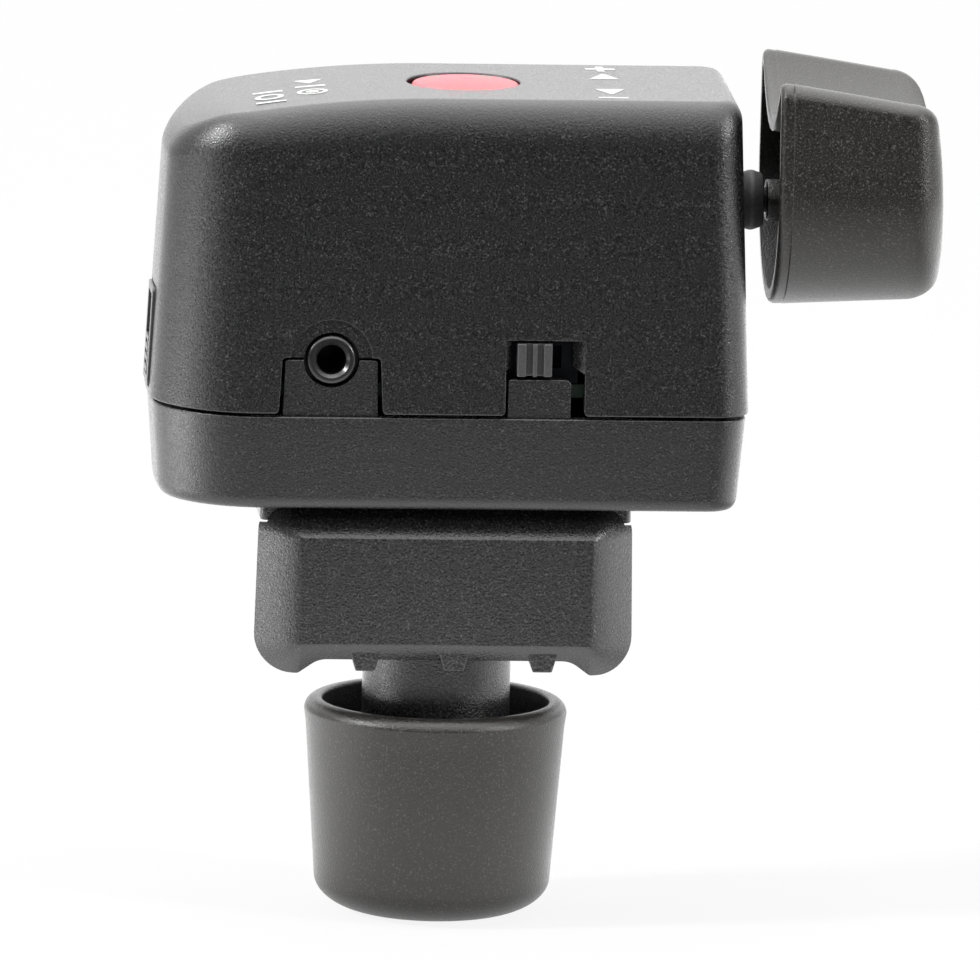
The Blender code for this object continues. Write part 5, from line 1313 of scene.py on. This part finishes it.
def makeFloor():
    size = studio["floorSize"]
    mesh = bpy.data.meshes.new("studioFloor")
    mesh.from_pydata(panel(size, size), [], [(0, 1, 2, 3)])
    floor = bpy.data.objects.new("studioFloor", mesh)
    scene.collection.objects.link(floor)
    material, tree, place = startMaterial("whitePaperSweep")
    seen = anyOf(tree, "Is Camera Ray", "Is Glossy Ray", "Is Transmission Ray")
    share = addNode(tree, "ShaderNodeMath", {"operation": "MULTIPLY", 1: studio["shownShare"]}, {0: seen})
    split = addNode(tree, "ShaderNodeSeparateXYZ", links={0: place})
    # Painted light for reflections: the paper glows bright near by and fades to dark beyond, in front
    reach = addNode(tree, "ShaderNodeMapRange", {
        "From Min": studio["floorFrom"], "From Max": studio["floorTo"],
        "To Min": studio["farFloor"], "To Max": studio["nearFloor"]}, {"Value": split.outputs["Y"]})
    # Painted light and shade for reflections: the paper glows brighter on the right and in a painted
    # bright patch on the left, and a painted shadow dims it round the foot
    shares = studio["floorShares"]
    first, span = shares[0][0], shares[-1][0] - shares[0][0]
    along = addNode(tree, "ShaderNodeMapRange", {"From Min": first, "From Max": first + span},
                    {"Value": split.outputs["X"]})
    sideways = addNode(tree, "ShaderNodeValToRGB", links={0: along.outputs[0]})
    stops = sideways.color_ramp.elements
    while len(stops) < len(shares):
        stops.new(0.5)
    for stop, (x, level) in zip(stops, shares):
        stop.position = (x - first) / span
        stop.color = (level, level, level, 1.0)
    foot = addNode(tree, "ShaderNodeVectorMath", {"operation": "LENGTH"}, {0: place})
    shade = addNode(tree, "ShaderNodeMapRange", {
        "From Min": studio["shadeFrom"], "From Max": studio["shadeEnd"],
        "To Min": studio["shade"], "To Max": 1.0}, {"Value": foot.outputs["Value"]})
    found = addNode(tree, "ShaderNodeMath", {"operation": "MULTIPLY"},
                    {0: reach.outputs[0], 1: sideways.outputs[0]})
    found = addNode(tree, "ShaderNodeMath", {"operation": "MULTIPLY"},
                    {0: found.outputs[0], 1: shade.outputs[0]})
    off = addNode(tree, "ShaderNodeVectorMath", {"operation": "DISTANCE", 1: (studio["patchX"], 0.0, 0.0)},
                  {0: place})
    patch = addNode(tree, "ShaderNodeMapRange", {
        "From Min": studio["patchFull"], "From Max": studio["patchReach"],
        "To Min": studio["patch"], "To Max": 0.0}, {"Value": off.outputs["Value"]})
    found = addNode(tree, "ShaderNodeMath", {"operation": "ADD"},
                    {0: found.outputs[0], 1: patch.outputs[0]})
    bright = addNode(tree, "ShaderNodeMix", {"data_type": "FLOAT", 2: 1.0},
                     {0: anyOf(tree, "Is Glossy Ray"), 3: found.outputs[0]})
    paper = addNode(tree, "ShaderNodeBsdfDiffuse", {"Color": linear(studio["floorColour"])})
    glow = addNode(tree, "ShaderNodeEmission", links={"Strength": bright.outputs[0]})
    mix = addNode(tree, "ShaderNodeMixShader", links={0: share.outputs[0], 1: paper.outputs[0],
                                                      2: glow.outputs[0]})
    endMaterial(tree, mix)
    mesh.materials.append(material)


def makeWorld():
    # White to the camera. To a reflection the room is dark in front and bright at the sides,
    # behind and overhead.
    world = bpy.data.worlds.new("studioWorld")
    scene.world = world
    world.use_nodes = True
    tree = world.node_tree
    tree.nodes.clear()
    place = addNode(tree, "ShaderNodeTexCoord").outputs["Generated"]
    split = addNode(tree, "ShaderNodeSeparateXYZ", links={0: place})
    around = addNode(tree, "ShaderNodeMapRange", {
        "From Min": studio["frontEnd"], "From Max": 0.0, "To Min": studio["front"],
        "To Max": studio["sides"]}, {"Value": split.outputs["Y"]})
    above = addNode(tree, "ShaderNodeMapRange", {
        "From Min": studio["overheadFrom"], "From Max": studio["overheadTo"],
        "To Max": studio["overhead"]}, {"Value": split.outputs["Z"]})
    room = addNode(tree, "ShaderNodeMath", {"operation": "MAXIMUM"},
                   {0: around.outputs[0], 1: above.outputs[0]})
    glossy = addNode(tree, "ShaderNodeMix", {"data_type": "FLOAT", 2: studio["world"]},
                     {0: anyOf(tree, "Is Glossy Ray"), 3: room.outputs[0]})
    strength = addNode(tree, "ShaderNodeMix", {"data_type": "FLOAT", 3: 1.0},
                       {0: anyOf(tree, "Is Camera Ray", "Is Transmission Ray"), 2: glossy.outputs[0]})
    back = addNode(tree, "ShaderNodeBackground", {"Color": (1.0, 1.0, 1.0, 1.0)},
                   {"Strength": strength.outputs[0]})
    addNode(tree, "ShaderNodeOutputWorld", links={"Surface": back.outputs[0]})


def addLamp(name):
    place, width, height, watts = lamps[name]
    lamp = bpy.data.lights.new(name, "AREA")
    lamp.shape = "RECTANGLE"
    lamp.size, lamp.size_y = width, height
    lamp.energy = watts
    thing = bpy.data.objects.new(name, lamp)
    scene.collection.objects.link(thing)
    thing.location = place
    thing.rotation_euler = (Vector(lampAim) - Vector(place)).to_track_quat("-Z", "Y").to_euler()


makeFloor()
makeWorld()
for lampName in lamps:
    addLamp(lampName)


# Camera: a long lens, a little to the left and ten degrees above

camera = {
    "lens": 918.0, "sensor": 36.0, "distance": 3.0, "farthest": 20.0,
    "aside": radians(4.5), "above": radians(10.1), "roll": radians(1.35),
    "aimX": 4.65 * mm, "aimZ": 54.6 * mm,
}


def makeCamera():
    data = bpy.data.cameras.new("photoCamera")
    data.lens = camera["lens"]
    data.sensor_width = camera["sensor"]
    data.clip_end = camera["farthest"]
    thing = bpy.data.objects.new("photoCamera", data)
    scene.collection.objects.link(thing)
    forward = Vector((sin(camera["aside"]) * cos(camera["above"]),
                      cos(camera["aside"]) * cos(camera["above"]), -sin(camera["above"])))
    aim = Vector((camera["aimX"], -halfDepth, camera["aimZ"]))
    turn = forward.to_track_quat("-Z", "Y").to_matrix() @ Matrix.Rotation(camera["roll"], 3, "Z")
    thing.matrix_world = Matrix.Translation(aim - forward * camera["distance"]) @ turn.to_4x4()
    scene.camera = thing


makeCamera()
scene.view_settings.view_transform = "Standard"
print("studio and camera made")
